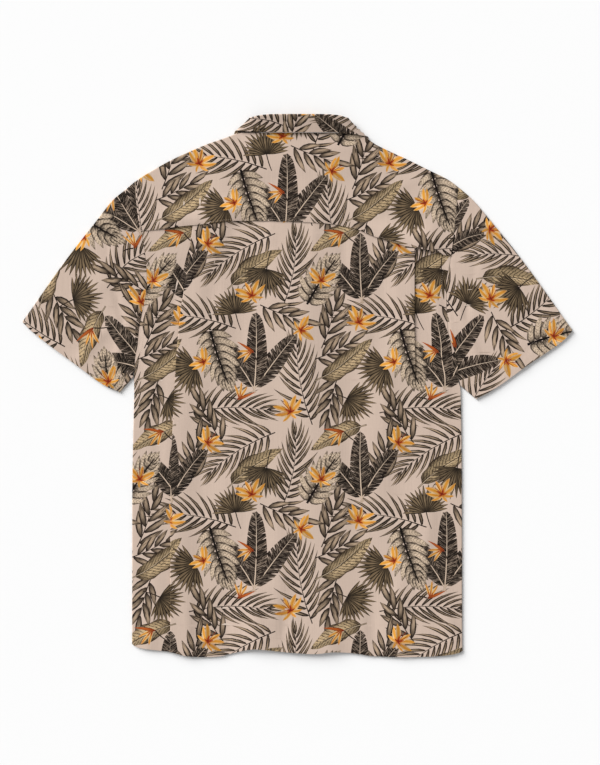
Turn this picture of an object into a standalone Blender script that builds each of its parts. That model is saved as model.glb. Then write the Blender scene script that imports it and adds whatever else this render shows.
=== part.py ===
"""A short-sleeved hawaiian shirt, buttoned up and laid flat on its front, with its back and its collar up.

The shirt lies on z = 0. +X runs to the right as seen from above, +Y towards the collar, +Z up.
Its wearer's left is at -X, because the back is on top. Sizes are millimetres until an object is made.

Every cloth piece is a sheet: a grid of points through the middle of the cloth, skinned and then given
its thickness. Two fields give the height of that middle at any place: under_height for the layer that
rests on the table and top_height for the layer that is seen from above.
"""

import bmesh
import bpy
import numpy as np

MM = 0.001
OBJECT = "hawaiian_shirt"

# The cloth
CLOTH = 1.0
COLLAR_CLOTH = 1.2
SEAM_GAP = 0.3
LAYER = 1.35  # middle to middle of two sheets that lie on each other
FOLD_LIMIT = np.radians(64)  # where each sheet of a side fold stops short of the seam
FOLD_ROOM = 3.2  # the last stretch of a row, which holds the side fold
BODY_HALF = 238.0
COLUMN = {-1: "left", 1: "right"}  # a side's column in the tables

# Heights of the two layers above the table
UNDER_MIDDLE = CLOTH / 2
TOP_MIDDLE = 3.0
BUTTON_RISE = 2.8  # the fronts pass over the buttons
LEAF_RISE = 2.0  # and over the collar's front leaves
CENTRE_RISE = 3.0  # the back passes over the overlapped fronts
NECK_RISE = 3.8
BUTTON_BAND = (13, 46)  # each rise is full up to the first distance from the centre and gone by the second
LEAF_BAND = (108, 150)
CENTRE_BAND = (24, 85)
NECK_BAND = (50, 125)
LEAF_START = (238, 268)  # and these two come in between two places along Y
NECK_START = (255, 325)
CALM_SIDE = (225, 238)  # soft folds die away between these distances from the centre line
CALM_SHOULDER = (5, 30)  # and within these distances of the shoulder's edge
OVERLAP = 17.5  # each front passes the centre line by this much
LAP_FADE = (20, 58)  # the upper front comes down to the table between these distances
FRONT_HEM_LIFT = 1.5  # the fronts' hem stays this far inside the back's
SIDE_TURN = (55, 5)  # the side seam becomes a fold between these distances below the underarm

# Rows and columns that neighbouring pieces share, so that their seams follow the same lines
BACK_ROWS = np.linspace(0, 1, 23) ** 1.12
FRONT_ROWS = np.linspace(0, 1, 22)
BACK_SIDE_COLUMNS = 5
BACK_CENTRE_COLUMNS = 15
YOKE_ROWS = np.linspace(0, 1, 8)
YOKE_NECK_COLUMNS = (0.2, 0.4, 0.6, 0.77, 0.9, 0.97)
YOKE_UNDER_ROWS = (1 / 3, 2 / 3, 1)
OUTER_COLUMNS = (0.14, 0.3, 0.46, 0.62, 0.78, 0.9, 1.0)  # from the neck's side out to the last stretch
EDGE_STEPS = (2.0, 1.0, 0.0)  # the last stretch, as distances from the edge
ARC_STEPS = 4

# The yoke
YOKE_LAP = 6.0  # the back's top edge reaches this far under the yoke
YOKE_LIFT = 1.8  # and the yoke's middle lies this far above the back's
YOKE_SETTLE = (3, 34)  # and comes down between these distances above the back's top edge
FORWARD_SHOULDER = 25.0  # the yoke turns over the shoulder and ends this far down the fronts
NECK_HALF = {-1: 88.0, 1: 93.0}

# The back's side pleats: each has its fold towards the armhole and its inner fold behind it
PLEAT_TURN_RADIUS = LAYER / 2
PLEAT_TURN_STEPS = 4
PLEAT_FLAT_STEP = 0.35  # the points' spacing where a pleat lies open
LEAST_TURN = 0.0025  # a step's turn, in radians, below which it does
PLEAT_BLEND = 45.0  # the back climbs onto a pleat's folds over this distance
PLEAT_MARGIN = 4.0  # which ends this far inside the inner fold
COVER_MARGIN = 22.0  # the yoke is up by this distance inside the inner fold, and stays up as far outside
COVER_END = 50.0  # and is down again this far outside

# The buttons
BUTTON_RADIUS = 5.6
BUTTON_THICKNESS = 2.2
BUTTON_BOTTOM = 0.25
BUTTON_EDGE = 0.5
STAND_BUTTON_Y = 320.0
FIRST_BUTTON_Y = 246.0
BUTTON_PITCH = 90.0
FRONT_BUTTONS = 6

CLOTH_COLOUR = (0.62, 0.53, 0.47)
CLOTH_ROUGHNESS = 0.85
BUTTON_COLOUR = (0.24, 0.17, 0.12)
BUTTON_ROUGHNESS = 0.35


class Table:
    """Rows of numbers under named columns. at() reads one column along a smooth curve through the rows."""

    def __init__(self, columns, *rows):
        values = np.array(sorted(rows), float).T
        self.columns = dict(zip(columns.split(), values))
        self.key = self.columns[columns.split()[0]]

    def at(self, column, place):
        """Monotone cubic interpolation: it never swings past a row's own value."""
        x, y = self.key, self.columns[column]
        step = np.diff(x)
        rise = np.diff(y) / step
        same_way = rise[:-1] * rise[1:] > 0
        inner = np.where(same_way, 2 * rise[:-1] * rise[1:] / np.where(same_way, rise[:-1] + rise[1:], 1), 0)
        slope = np.concatenate(([rise[0]], inner, [rise[-1]]))
        place = np.clip(np.asarray(place, float), x[0], x[-1])
        i = np.clip(np.searchsorted(x, place) - 1, 0, len(step) - 1)
        t = (place - x[i]) / step[i]
        start = (1 + 2 * t) * (1 - t) ** 2 * y[i] + t * (1 - t) ** 2 * step[i] * slope[i]
        end = t**2 * (3 - 2 * t) * y[i + 1] - t**2 * (1 - t) * step[i] * slope[i + 1]
        return start + end


# The top edge of the garment from the neck along the shoulder and sleeve to the cuff, on each side
SHOULDER_LINE = {
    -1: Table(
        "out y",
        (88, 369.2), (106, 362.1), (132, 353.3), (152.6, 344.6), (184.7, 330), (211, 315.4),
        (234.3, 300.8), (251.9, 286.2), (269.4, 271.6), (292.7, 242.4), (338, 184), (401.5, 93.6),
    ),
    1: Table(
        "out y",
        (93, 366.2), (105.9, 358.6), (113.2, 353.3), (130.7, 344.6), (162.8, 330), (192, 315.4),
        (221.2, 300.8), (240.2, 286.2), (256.2, 271.6), (281.1, 242.4), (327.8, 184), (401.5, 81.0),
    ),
}

# The seam between body and sleeve, from the underarm up to the shoulder
ARMHOLE = Table(
    "y left right",
    (0, 239.4, 236.2), (15, 238.6, 235.0), (38, 237.3, 232.9), (60, 233.5, 226.0), (82, 231.4, 219.5),
    (115, 225.0, 217.6), (148, 219.7, 217.0), (181, 221.2, 222.5), (215, 226.0, 227.5),
    (251, 233.5, 231.0), (283, 235.8, 234.3), (305, 235.0, 236.0),
)
ARMHOLE_TOP = {-1: 300.2, 1: 289.5}
UNDERARM = {-1: 13.1, 1: 1.3}

# The cuff's line from its upper to its lower corner, as shares of its length
CUFF = {
    -1: Table(
        "share out y",
        (0, 401.0, 92.6), (0.1, 390.0, 81.6), (0.5, 333.6, 38.4), (0.9, 271.5, -4.4), (1, 260.4, -8.0),
    ),
    1: Table(
        "share out y",
        (0, 401.0, 80.0), (0.1, 391.0, 69.0), (0.5, 336.4, 30.5), (0.9, 280.5, -8.6), (1, 261.8, -18.0),
    ),
}
SLEEVE_RINGS = 9
LEAST_SPACING = 5.0  # points along the armhole stay this far from the underarm and from the yoke's corner
UNDERARM_GAP = 1.5  # the sleeve's seam stops this far above the underarm
UNDERARM_CLEARANCE = 1.4  # and its lower corner stands this much further off

# The side folds of the body, below the underarm
SIDE = Table(
    "y left right",
    (-400, 242.5, 242.0), (-370, 241.8, 240.8), (-160, 241.6, 240.4), (-70, 240.2, 239.8),
    (-15, 238.8, 238.6), (15, 239.2, 236.4),
)

# The back hem dips and lifts as the cloth waves
HEM = Table(
    "x y",
    (-241, -377.0), (-236, -381.0), (-220, -384.0), (-185, -388.4), (-160, -394.6), (-140, -395.7),
    (-116, -394.8), (-97, -391.0), (-80, -386.6), (-62, -384.0), (-44, -385.4), (-10, -389.1),
    (25, -391.0), (52, -388.4), (78, -389.8), (113, -394.6), (155, -395.7), (200, -394.9), (236, -389.8),
    (241, -386.5),
)

YOKE_SEAM = Table(
    "x y",
    (-238, 225.5), (-201, 228.5), (-177, 232.1), (-136, 236.1), (-94, 240.9), (-40, 240.6), (0, 239.2),
    (47, 236.5), (72, 232.1), (87, 228.6), (106, 220.5), (120, 215.5), (150, 205.9), (186, 198.6),
    (217, 190.5), (238, 186.0),
)

# The two pleats: where the outer fold lies, how deep the fold runs in and how far it is turned, in degrees
PLEAT = {
    -1: Table(
        "y fold depth turn",
        (-400, -184.7, 1, 60), (-270, -184.5, 2.5, 150), (-160, -184.2, 4, 180), (24, -177.4, 7, 180),
        (112, -170.1, 9, 180), (149, -164.3, 13, 180), (240, -151.7, 21, 180),
    ),
    1: Table(
        "y fold depth turn",
        (-400, 172.0, 2, 0), (20, 171.0, 2, 0), (90, 170.5, 2, 180), (135, 170.1, 5, 180),
        (240, 170.1, 11, 180),
    ),
}

NECK_SEAM_INSET = SEAM_GAP / 2

# The neckline: over the back it is the yoke's edge, and below the shoulder folds the fronts' edge
NECK_BACK = {
    -1: Table("out y", (0, 369.4), (45, 369.4), (70, 369.5), (82, 369.4), (88, 369.2)),
    1: Table("out y", (0, 369.4), (45, 369.2), (70, 368.4), (84, 367.2), (93, 366.2)),
}
NECK_FRONT = {
    -1: Table("out y", (0, 303.0), (17, 303.8), (36, 308.0), (62, 321.5), (80, 336.0), (88, 344.2)),
    1: Table("out y", (0, 303.0), (17, 303.8), (37, 308.0), (64, 321.0), (83, 335.0), (93, 341.2)),
}

# Soft folds of the top layer: middle, heading in degrees from +X, length, width and height
SOFT_FOLDS = (
    # x, y, heading, length, width, height
    (-62, -350, 92, 95, 17, 3.4),
    (-216, -355, 84, 80, 12, 1.6),
    (48, -365, 95, 75, 15, 1.7),
    (222, -350, 96, 90, 10, 1.3),
    (-112, 120, 86, 90, 9, 0.9),
    (92, 130, 95, 85, 10, 0.9),
    (10, 60, 89, 150, 22, 0.8),
    (-268, 190, 96, 30, 5, 1.5),
    (292, 150, 118, 60, 12, 1.1),
    (-318, 110, 55, 65, 12, 1.1),
    (-150, 292, 150, 60, 10, 0.9),
    (140, 285, 30, 60, 10, 0.9),
)

# The collar, row by row from the centre back (0) round the side (5) to past the centre front (12). neck is
# the seam with the shirt, roll is the stand's upper edge and edge is the free edge of the fall
COLLAR = {
    -1: Table(
        "row neck_out neck_y roll_out roll_y roll_z edge_out edge_y edge_z",
        (0, 0, 369.8, 0, 392.6, 13.5, 0, 369.6, 10.4),
        (1, 36, 369.8, 34, 392.5, 13.3, 37, 370.0, 10.3),
        (2, 62, 370.1, 57, 390.8, 12.4, 63, 370.8, 9.7),
        (3, 77, 370.1, 66, 388.9, 10.9, 78, 371.4, 8.6),
        (4, 84.5, 370.3, 69.6, 387.4, 8.8, 86.5, 372.4, 7.0),
        (5, 87.0, 370.5, 70.6, 386.0, 6.6, 89.5, 372.8, 4.2),
        (6, 87.0, 366.6, 69.6, 384.0, 4.6, 92, 370.6, 1.0),
        (7, 86.8, 351.0, 64, 375.5, 3.8, 94, 351.0, 0.62),
        (8, 79.5, 336.4, 52, 361.0, 3.5, 90.5, 330.0, 0.6),
        (9, 61.5, 321.9, 36, 348.8, 3.4, 85.5, 311.0, 0.6),
        (10, 36, 308.4, 18, 341.2, 3.4, 79.5, 293.0, 0.6),
        (11, 0, 303.4, 1, 337.4, 3.5, 73, 276.0, 0.6),
        (12, -17, 304.2, -6, 337.0, 3.5, 73, 276.0, 0.6),
    ),
    1: Table(
        "row neck_out neck_y roll_out roll_y roll_z edge_out edge_y edge_z",
        (0, 0, 369.8, 0, 392.6, 13.5, 0, 369.6, 10.4),
        (1, 38, 369.7, 36, 392.5, 13.3, 38, 369.8, 10.3),
        (2, 64, 369.2, 60, 391.0, 12.4, 65, 369.2, 9.7),
        (3, 81, 368.0, 69.5, 388.9, 10.9, 83, 366.9, 8.6),
        (4, 89.5, 367.0, 73.4, 387.2, 8.8, 94, 364.9, 7.4),
        (5, 92.0, 367.4, 74.6, 385.6, 6.6, 101.5, 364.0, 4.2),
        (6, 92.0, 363.6, 73.6, 383.4, 4.6, 104, 361.4, 1.0),
        (7, 91.8, 348.6, 67.5, 374.0, 3.8, 102, 343.0, 0.62),
        (8, 82.5, 335.2, 55, 360.0, 3.5, 99, 325.0, 0.6),
        (9, 63.5, 321.3, 37, 348.4, 3.4, 91.5, 308.0, 0.6),
        (10, 37, 308.4, 18, 341.2, 3.4, 83.5, 292.0, 0.6),
        (11, 0, 303.4, 1, 337.4, 3.5, 74.5, 276.0, 0.6),
        (12, -17, 304.2, -6, 337.0, 3.5, 74.5, 276.0, 0.6),
    ),
}
ROLL_RADIUS = 1.15
FALL_LAST_ROW = {-1: 10.8, 1: 10.4}  # where each leaf's front edge starts
ROLL_GAP = 0.6  # wider than at the other seams, because the collar twists where it rounds the neck
ROLL_START = 1.0  # the fall first follows the stand's plane
FALL_BOW = 0.33  # and then bends away to its edge
FALL_STEPS = (0.2, 0.4, 0.6, 0.8, 1.0)
STAND_HEIGHTS = (99.0, 9.0, 1.2, 0.0)  # the stand's rows, this far below its upper edge or at the seam
STAND_LAST_ROW = 12
NECK_TURN = (3.6, 6.4)  # the rows over which the neckline passes from the top layer to the under one
STAND_LAP = (9.4, 10.8)  # and those over which one end of the stand climbs onto the other


def ease(value, start, end):
    """0 up to start, 1 from end, and a smooth rise between them."""
    t = np.clip((np.asarray(value, float) - start) / (end - start), 0, 1)
    return t * t * (3 - 2 * t)


def band(value, half_flat, half_wide):
    """1 within half_flat of zero, 0 from half_wide."""
    return 1 - ease(np.abs(value), half_flat, half_wide)


def soft_folds(x, y):
    total = 0.0
    for fold_x, fold_y, heading, length, width, height in SOFT_FOLDS:
        turn = np.radians(heading)
        along = (x - fold_x) * np.cos(turn) + (y - fold_y) * np.sin(turn)
        across = (y - fold_y) * np.cos(turn) - (x - fold_x) * np.sin(turn)
        total = total + height * np.exp(-((along / length) ** 2) - (across / width) ** 2)
    return total


def under_height(x, y):
    """Middle of the layer that rests on the table."""
    over_buttons = BUTTON_RISE * band(x, *BUTTON_BAND)
    return UNDER_MIDDLE + np.maximum(over_buttons, over_leaves(x, y))


def over_leaves(x, y):
    """Both layers rise over the collar's front leaves."""
    return LEAF_RISE * ease(y, *LEAF_START) * band(x, *LEAF_BAND)


def top_height(x, y):
    """Middle of the layer that is seen from above."""
    over_centre = CENTRE_RISE * band(x, *CENTRE_BAND)
    over_neck = NECK_RISE * ease(y, *NECK_START) * band(x, *NECK_BAND)
    rise = np.maximum(np.maximum(over_centre, over_neck), over_leaves(x, y))
    return TOP_MIDDLE + rise + soft_folds(x, y) * ease_at_edges(x, y)


def ease_at_edges(x, y):
    """Soft folds die away towards the garment's side folds and shoulder folds."""
    side = np.where(np.asarray(x) < 0, -1, 1)
    out = np.abs(x)
    body = 1 - ease(out, *CALM_SIDE)
    line = np.where(side < 0, SHOULDER_LINE[-1].at("y", out), SHOULDER_LINE[1].at("y", out))
    sleeve = ease(line - y, *CALM_SHOULDER)
    return np.where(np.asarray(y) > 0, sleeve, body)


def armhole(side, y):
    """Distance from the centre line to the armhole seam."""
    return ARMHOLE.at(COLUMN[side], y)


def body_edge(side, y):
    """Distance from the centre line to the body's edge: the armhole seam, and the side fold below it."""
    fold = SIDE.at(COLUMN[side], y) - CLOTH / 2
    return np.where(np.asarray(y) > UNDERARM[side], armhole(side, y) - SEAM_GAP / 2, fold)


def edge_turn(side, y):
    """1 where the body's edge is a fold, 0 where it is the armhole seam."""
    start, end = SIDE_TURN
    return 1 - ease(y, UNDERARM[side] - start, UNDERARM[side] - end)


def edge_of_row(side, y_at):
    """Where a row of the body reaches its edge, as (distance out, y). y_at gives the row's y at any x."""
    edge = BODY_HALF
    for _ in range(6):
        y = y_at(side * edge)
        edge = float(body_edge(side, y))
    return edge, y


def side_fold(side, y, height, radius, down):
    """Points from inside to the fold's outermost line, as (distance out, height), for one row of a sheet."""
    turned = edge_turn(side, y)
    edge = body_edge(side, y)
    points = []
    for k, flat_out in enumerate(EDGE_STEPS):
        angle = FOLD_LIMIT * (k + 1) / len(EDGE_STEPS)
        curled_out = radius * (1 - np.sin(angle))
        drop = turned * radius * (1 - np.cos(angle))
        out = edge - (1 - turned) * flat_out - turned * curled_out
        points.append((out, height + (-drop if down else drop)))
    return points


def pleat_path(side, y):
    """One pleat's points from its centre side to its outer side, as (x, rise above the base layer)."""
    table = PLEAT[side]
    fold, depth = float(table.at("fold", y)), float(table.at("depth", y))
    turn_step = np.radians(float(table.at("turn", y))) / PLEAT_TURN_STEPS
    is_turned = turn_step > LEAST_TURN
    chord = 2 * PLEAT_TURN_RADIUS * np.sin(turn_step / 2) if is_turned else PLEAT_FLAT_STEP
    across, rise = [0.0], [0.0]
    heading = 0.0

    def go(distance):
        across.append(across[-1] + distance * np.cos(heading))
        rise.append(rise[-1] - distance * np.sin(heading))

    for direction in (1, -1):
        for _ in range(PLEAT_TURN_STEPS):
            heading += direction * turn_step / 2
            go(chord)
            heading += direction * turn_step / 2
        if direction == 1:
            go(depth / 2)
            go(depth / 2)
    across, rise = np.array(across), np.array(rise)
    return fold + side * across, rise - rise[-1]


def pleat_rise(x, y):
    """How far the pleats' folds lift the centre of the back above its base layer."""
    total = 0.0
    for side in (-1, 1):
        path_x, rise = pleat_path(side, y)
        inner = min(side * path_x)
        climb = ease(side * np.asarray(x), inner - PLEAT_BLEND, inner - PLEAT_MARGIN)
        total = total + rise[0] * climb
    return total


def material(name, colour, roughness):
    made = bpy.data.materials.new(name)
    made.use_nodes = True
    shader = made.node_tree.nodes["Principled BSDF"]
    shader.inputs["Base Color"].default_value = (*colour, 1)
    shader.inputs["Roughness"].default_value = roughness
    shader.inputs["Metallic"].default_value = 0
    made.diffuse_color = (*colour, 1)
    return made


def new_object(name, mesh, collection, colour, roughness):
    made = bpy.data.objects.new(name, mesh)
    mesh.materials.append(material(name, colour, roughness))
    collection.objects.link(made)
    return made


def sheet(name, collection, grid, thickness=CLOTH, ring=False, missing=None):
    """Skins a grid of middle points and thickens it. Its normals point away from the garment's inside."""
    rows, columns = len(grid), len(grid[0])
    points = [tuple(np.array(p) * MM) for row in grid for p in row]
    faces = []
    for i in range(rows - 1):
        for j in range(columns if ring else columns - 1):
            if missing is not None and missing(i, j):
                continue
            k = (j + 1) % columns
            faces.append((i * columns + j, i * columns + k, (i + 1) * columns + k, (i + 1) * columns + j))
    used = sorted({index for face in faces for index in face})
    place = {index: new for new, index in enumerate(used)}
    mesh = bpy.data.meshes.new(name)
    mesh.from_pydata([points[index] for index in used], [], [[place[i] for i in face] for face in faces])
    mesh.shade_smooth()
    made = new_object(name, mesh, collection, CLOTH_COLOUR, CLOTH_ROUGHNESS)
    wall = made.modifiers.new("cloth", "SOLIDIFY")
    wall.thickness = thickness * MM
    wall.offset = 0
    wall.use_even_offset = True
    return made


def make_back(collection):
    """The back below the yoke, with its two side pleats and its side folds."""
    grid = []
    for v in BACK_ROWS:
        middle_y = HEM.at("y", 0) * (1 - v) + YOKE_SEAM.at("y", 0) * v
        paths = {side: pleat_path(side, middle_y) for side in (-1, 1)}
        row = []
        for side in (-1, 1):
            path_x, path_rise = paths[side]
            edge, y = edge_of_row(side, lambda x, v=v: row_y(x, v))
            outer = []
            for x in np.linspace(path_x[-1], side * (edge - FOLD_ROOM), BACK_SIDE_COLUMNS)[1:]:
                outer.append(back_point(x, v, 0))
            top, under = float(top_height(side * edge, y)), float(under_height(side * edge, y))
            for out, z in side_fold(side, y, top, (top - under) / 2, down=True):
                outer.append((side * out, row_y(side * out, v), z))
            pleat = [back_point(x, v, r) for x, r in zip(path_x, path_rise)]
            row.append((pleat, outer))
        (left_pleat, left_outer), (right_pleat, right_outer) = row
        centre = []
        for x in np.linspace(paths[-1][0][0], paths[1][0][0], BACK_CENTRE_COLUMNS + 2)[1:-1]:
            centre.append(back_point(x, v, float(pleat_rise(x, middle_y))))
        grid.append(left_outer[::-1] + left_pleat[::-1] + centre + right_pleat + right_outer)
    return sheet("back", collection, grid)


def row_y(x, v):
    """Y of the back's row v, from the hem (0) to its top edge under the yoke (1)."""
    return float(HEM.at("y", x) * (1 - v) + (YOKE_SEAM.at("y", x) + YOKE_LAP) * v)


def back_point(x, v, rise):
    y = row_y(x, v)
    return (x, y, float(top_height(x, y)) + rise)


def yoke_height(x, y):
    """The yoke lies on the back's top edge and settles to the top layer above it."""
    start, end = YOKE_SETTLE
    settled = ease(y - YOKE_SEAM.at("y", x) - YOKE_LAP, start, end)
    return top_height(x, y) + (YOKE_LIFT + pleat_cover(x)) * (1 - settled)


def pleat_cover(x):
    """The pleats' height under the yoke, carried a little past their folds so that the yoke clears them."""
    total = 0.0
    for side in (-1, 1):
        path_x, rise = pleat_path(side, float(YOKE_SEAM.at("y", PLEAT[side].columns["fold"][-1])))
        outside = side * (x - path_x[0])
        inner = min(side * path_x)
        climb = ease(side * x, inner - PLEAT_BLEND - COVER_MARGIN, inner - COVER_MARGIN)
        total = total + rise[0] * climb * (1 - ease(outside, COVER_MARGIN, COVER_END))
    return total


def make_yoke(collection):
    """The yoke: from its seam on the back, over the shoulders, to the forward shoulder seams underneath."""
    half = {side: yoke_columns(side) for side in (-1, 1)}
    stations = half[-1][::-1] + [(1, "neck", 0.0)] + half[1]
    grid = [[yoke_top_point(*station, v) for station in stations] for v in YOKE_ROWS]
    for k in range(1, ARC_STEPS + 1):
        grid.append([yoke_arc_point(*station, np.pi * k / ARC_STEPS) for station in stations])
    for v in YOKE_UNDER_ROWS:
        grid.append([yoke_under_point(*station, v) for station in stations])

    def missing(i, j):
        """The neck's columns end at the neckline, and only the shoulders' columns turn over."""
        return i >= len(YOKE_ROWS) - 1 and "neck" in (stations[j][1], stations[j + 1][1])

    return sheet("yoke", collection, grid, missing=missing)


def yoke_columns(side):
    """One half's columns from the centre out: (side, what its place is measured from, place)."""
    inner = [(side, "neck", NECK_HALF[side] * share) for share in YOKE_NECK_COLUMNS]
    outer = [(side, "shoulder", share) for share in (0.0, *OUTER_COLUMNS)]
    return inner + outer + [(side, "edge", step) for step in EDGE_STEPS]


def column_out(side, kind, place, y):
    """Distance out of a yoke column at this y. The outermost columns follow the armhole seam."""
    if kind == "neck":
        return place
    edge = float(body_edge(side, y))
    if kind == "edge":
        return edge - place
    neck = NECK_HALF[side]
    return neck + (edge - FOLD_ROOM - neck) * place


def shoulder_fold(side, out):
    """Where the shoulder's fold starts at this distance out, and its radius, slant and height."""
    line = SHOULDER_LINE[side]
    slope = float(line.at("y", out + 1) - line.at("y", out - 1)) / 2
    slant = np.sqrt(1 + slope**2)
    y = float(line.at("y", out)) - CLOTH / 2 * slant
    top = float(top_height(side * out, y))
    radius = (top - float(under_height(side * out, y))) / 2
    return y - radius * slant, radius, slant, top


def fold_column(side, kind, place):
    """Distance out of a yoke column where it meets the shoulder's fold."""
    return column_out(side, kind, place, ARMHOLE_TOP[side])


def yoke_top_point(side, kind, place, v):
    if kind == "neck":
        top_y = float(NECK_BACK[side].at("y", place)) - NECK_SEAM_INSET
    else:
        top_y = shoulder_fold(side, fold_column(side, kind, place))[0]
    y = top_y
    for _ in range(6):
        x = side * column_out(side, kind, place, y)
        y = float(YOKE_SEAM.at("y", x)) * (1 - v) + top_y * v
    return (x, y, float(yoke_height(x, y)))


def yoke_arc_point(side, kind, place, angle):
    out = fold_column(side, kind, place)
    y, radius, slant, top = shoulder_fold(side, out)
    return (side * out, y + radius * slant * np.sin(angle), top - radius * (1 - np.cos(angle)))


def yoke_under_point(side, kind, place, v):
    start = shoulder_fold(side, fold_column(side, kind, place))[0]
    y = start
    for _ in range(6):
        out = column_out(side, kind, place, y)
        y = start * (1 - v) + forward_seam(side, out) * v
    return (side * out, y, float(under_height(side * out, y)))


def forward_seam(side, out):
    """Y of the seam that joins yoke and front, on the underside."""
    return float(SHOULDER_LINE[side].at("y", out)) - FORWARD_SHOULDER


def front_top(side, x):
    """Y of a front's upper edge: its neckline, and beyond it the forward shoulder seam."""
    out = side * x
    neck = NECK_HALF[side]
    if out < neck:
        return float(NECK_FRONT[side].at("y", abs(out))) - NECK_SEAM_INSET
    return forward_seam(side, out) - SEAM_GAP


def make_front(name, side, collection):
    """One front, from its edge past the centre line to the side fold, lying on the table."""
    neck = NECK_HALF[side]
    inner = [-OVERLAP, 0.0, OVERLAP, 30, 44, 62, 76, neck - 4, neck]
    lap = LAYER if side > 0 else 0.0
    grid = []
    for v in FRONT_ROWS:
        row = []
        for out in inner:
            row.append(front_point(side, out, v, lap))
        edge, y = edge_of_row(side, lambda x, v=v: front_row_y(side, side * x, v))
        for share in OUTER_COLUMNS:
            row.append(front_point(side, neck + (edge - FOLD_ROOM - neck) * share, v, lap))
        top, under = float(top_height(side * edge, y)), float(under_height(side * edge, y))
        for out, z in side_fold(side, y, under, (top - under) / 2, down=False):
            row.append((side * out, front_row_y(side, out, v), z))
        grid.append(row)
    return sheet(name, collection, grid)


def front_row_y(side, out, v):
    hem = float(HEM.at("y", side * out)) + FRONT_HEM_LIFT
    return hem * (1 - v) + front_top(side, side * out) * v


def front_point(side, out, v, lap):
    x = side * out
    y = front_row_y(side, out, v)
    over = lap * (1 - ease(out, *LAP_FADE))
    return (x, y, float(under_height(x, y)) + over)


def armhole_stations(side, layer):
    """Y of the points that the body's edge has along the armhole, from the shoulder down to the underarm."""
    if layer == "top":
        yoke = [yoke_top_point(side, "edge", 0.0, v)[1] for v in YOKE_ROWS[::-1]]
        body = [edge_of_row(side, lambda x, v=v: row_y(x, v))[1] for v in BACK_ROWS[::-1]]
    else:
        yoke = [yoke_under_point(side, "edge", 0.0, v)[1] for v in (0.0, *YOKE_UNDER_ROWS)]
        rows = FRONT_ROWS[::-1]
        body = [edge_of_row(side, lambda x, v=v: front_row_y(side, side * x, v))[1] for v in rows]
    body = [y for y in body if UNDERARM[side] + LEAST_SPACING < y < yoke[-1] - LEAST_SPACING]
    return yoke + body + [UNDERARM[side] + UNDERARM_GAP]


def sleeve_point(side, s, y):
    """Plan of the sleeve: s from the armhole (0) to the cuff (1), y where the thread leaves the armhole."""
    top = shoulder_fold(side, fold_column(side, "edge", 0.0))[0]
    bottom = UNDERARM[side] + UNDERARM_GAP
    t = (top - y) / (top - bottom)
    clear = UNDERARM_CLEARANCE * ease(t, 0.96, 1)
    start = np.array([float(armhole(side, y)) + SEAM_GAP / 2 + clear, y])
    end = np.array([float(CUFF[side].at("out", t)), float(CUFF[side].at("y", t))])
    straight = start * (1 - s) + end * s
    upper_start = np.array([float(armhole(side, top)) + SEAM_GAP / 2, top])
    upper_end = np.array([float(CUFF[side].at("out", 0)), float(CUFF[side].at("y", 0))])
    upper = upper_start * (1 - s) + upper_end * s
    fold_start = shoulder_fold(side, upper[0])[0]
    ends_off = (upper_start[1] - shoulder_fold(side, upper_start[0])[0]) * (1 - s)
    ends_off = ends_off + (upper_end[1] - shoulder_fold(side, upper_end[0])[0]) * s
    return straight + np.array([0, (fold_start + ends_off - upper[1]) * (1 - t)])


def make_sleeve(name, side, collection):
    """One sleeve: a flattened tube from the armhole to the cuff."""
    top_stations = armhole_stations(side, "top")
    under_stations = armhole_stations(side, "under")
    grid = []
    for s in np.linspace(0, 1, SLEEVE_RINGS):
        top = [layer_point(side, sleeve_point(side, s, y), top_height) for y in top_stations]
        under = [layer_point(side, sleeve_point(side, s, y), under_height) for y in under_stations]
        slope_start = sleeve_point(side, max(s - 0.05, 0), top_stations[0])
        slope_end = sleeve_point(side, min(s + 0.05, 1), top_stations[0])
        upper_slope = (slope_end[1] - slope_start[1]) / (slope_end[0] - slope_start[0])
        lower_drop = CUFF[side].at("y", 1) - UNDERARM[side]
        lower_slope = lower_drop / (CUFF[side].at("out", 1) - armhole(side, UNDERARM[side]))
        lower_fold = fold_arc(top[-1], under[-1], -1, float(lower_slope))
        upper_fold = fold_arc(under[0], top[0], 1, float(upper_slope))
        grid.append(top + lower_fold + under[::-1] + upper_fold)
    return sheet(name, collection, grid, ring=True)


def layer_point(side, plan, height):
    x, y = side * plan[0], plan[1]
    return (x, y, float(height(x, y)))


def fold_arc(start, end, way, slope):
    """Half a turn between two layers, bulging along Y by way, as wide as a fold on a line of this slope."""
    swing = (start[2] - end[2]) / 2
    reach = abs(swing) * np.sqrt(1 + slope**2)
    points = []
    for k in range(1, ARC_STEPS):
        angle = np.pi * k / ARC_STEPS
        x, y = (start[i] + (end[i] - start[i]) * k / ARC_STEPS for i in (0, 1))
        points.append((x, y + way * reach * np.sin(angle), (start[2] + end[2]) / 2 + swing * np.cos(angle)))
    return points


def collar_line(side, kind, row):
    """A point of one of the collar's lines, between the table's rows."""
    table = COLLAR[side]
    out = float(table.at(kind + "_out", row))
    y = float(table.at(kind + "_y", row))
    if kind == "neck":
        z = neck_height(side, out, y, row)
    else:
        z = float(table.at(kind + "_z", row))
    if side > 0 and kind != "edge":
        z += LAYER * ease(row, *STAND_LAP)
    return np.array([side * out, y, z])


def neck_height(side, out, y, row):
    """The neckline's height: the yoke's edge behind, the fronts' edge in front, and the fold between."""
    x = side * out
    top, under = float(top_height(x, y)), float(under_height(x, y))
    return top + (under - top) * float(ease(row, *NECK_TURN))


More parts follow.
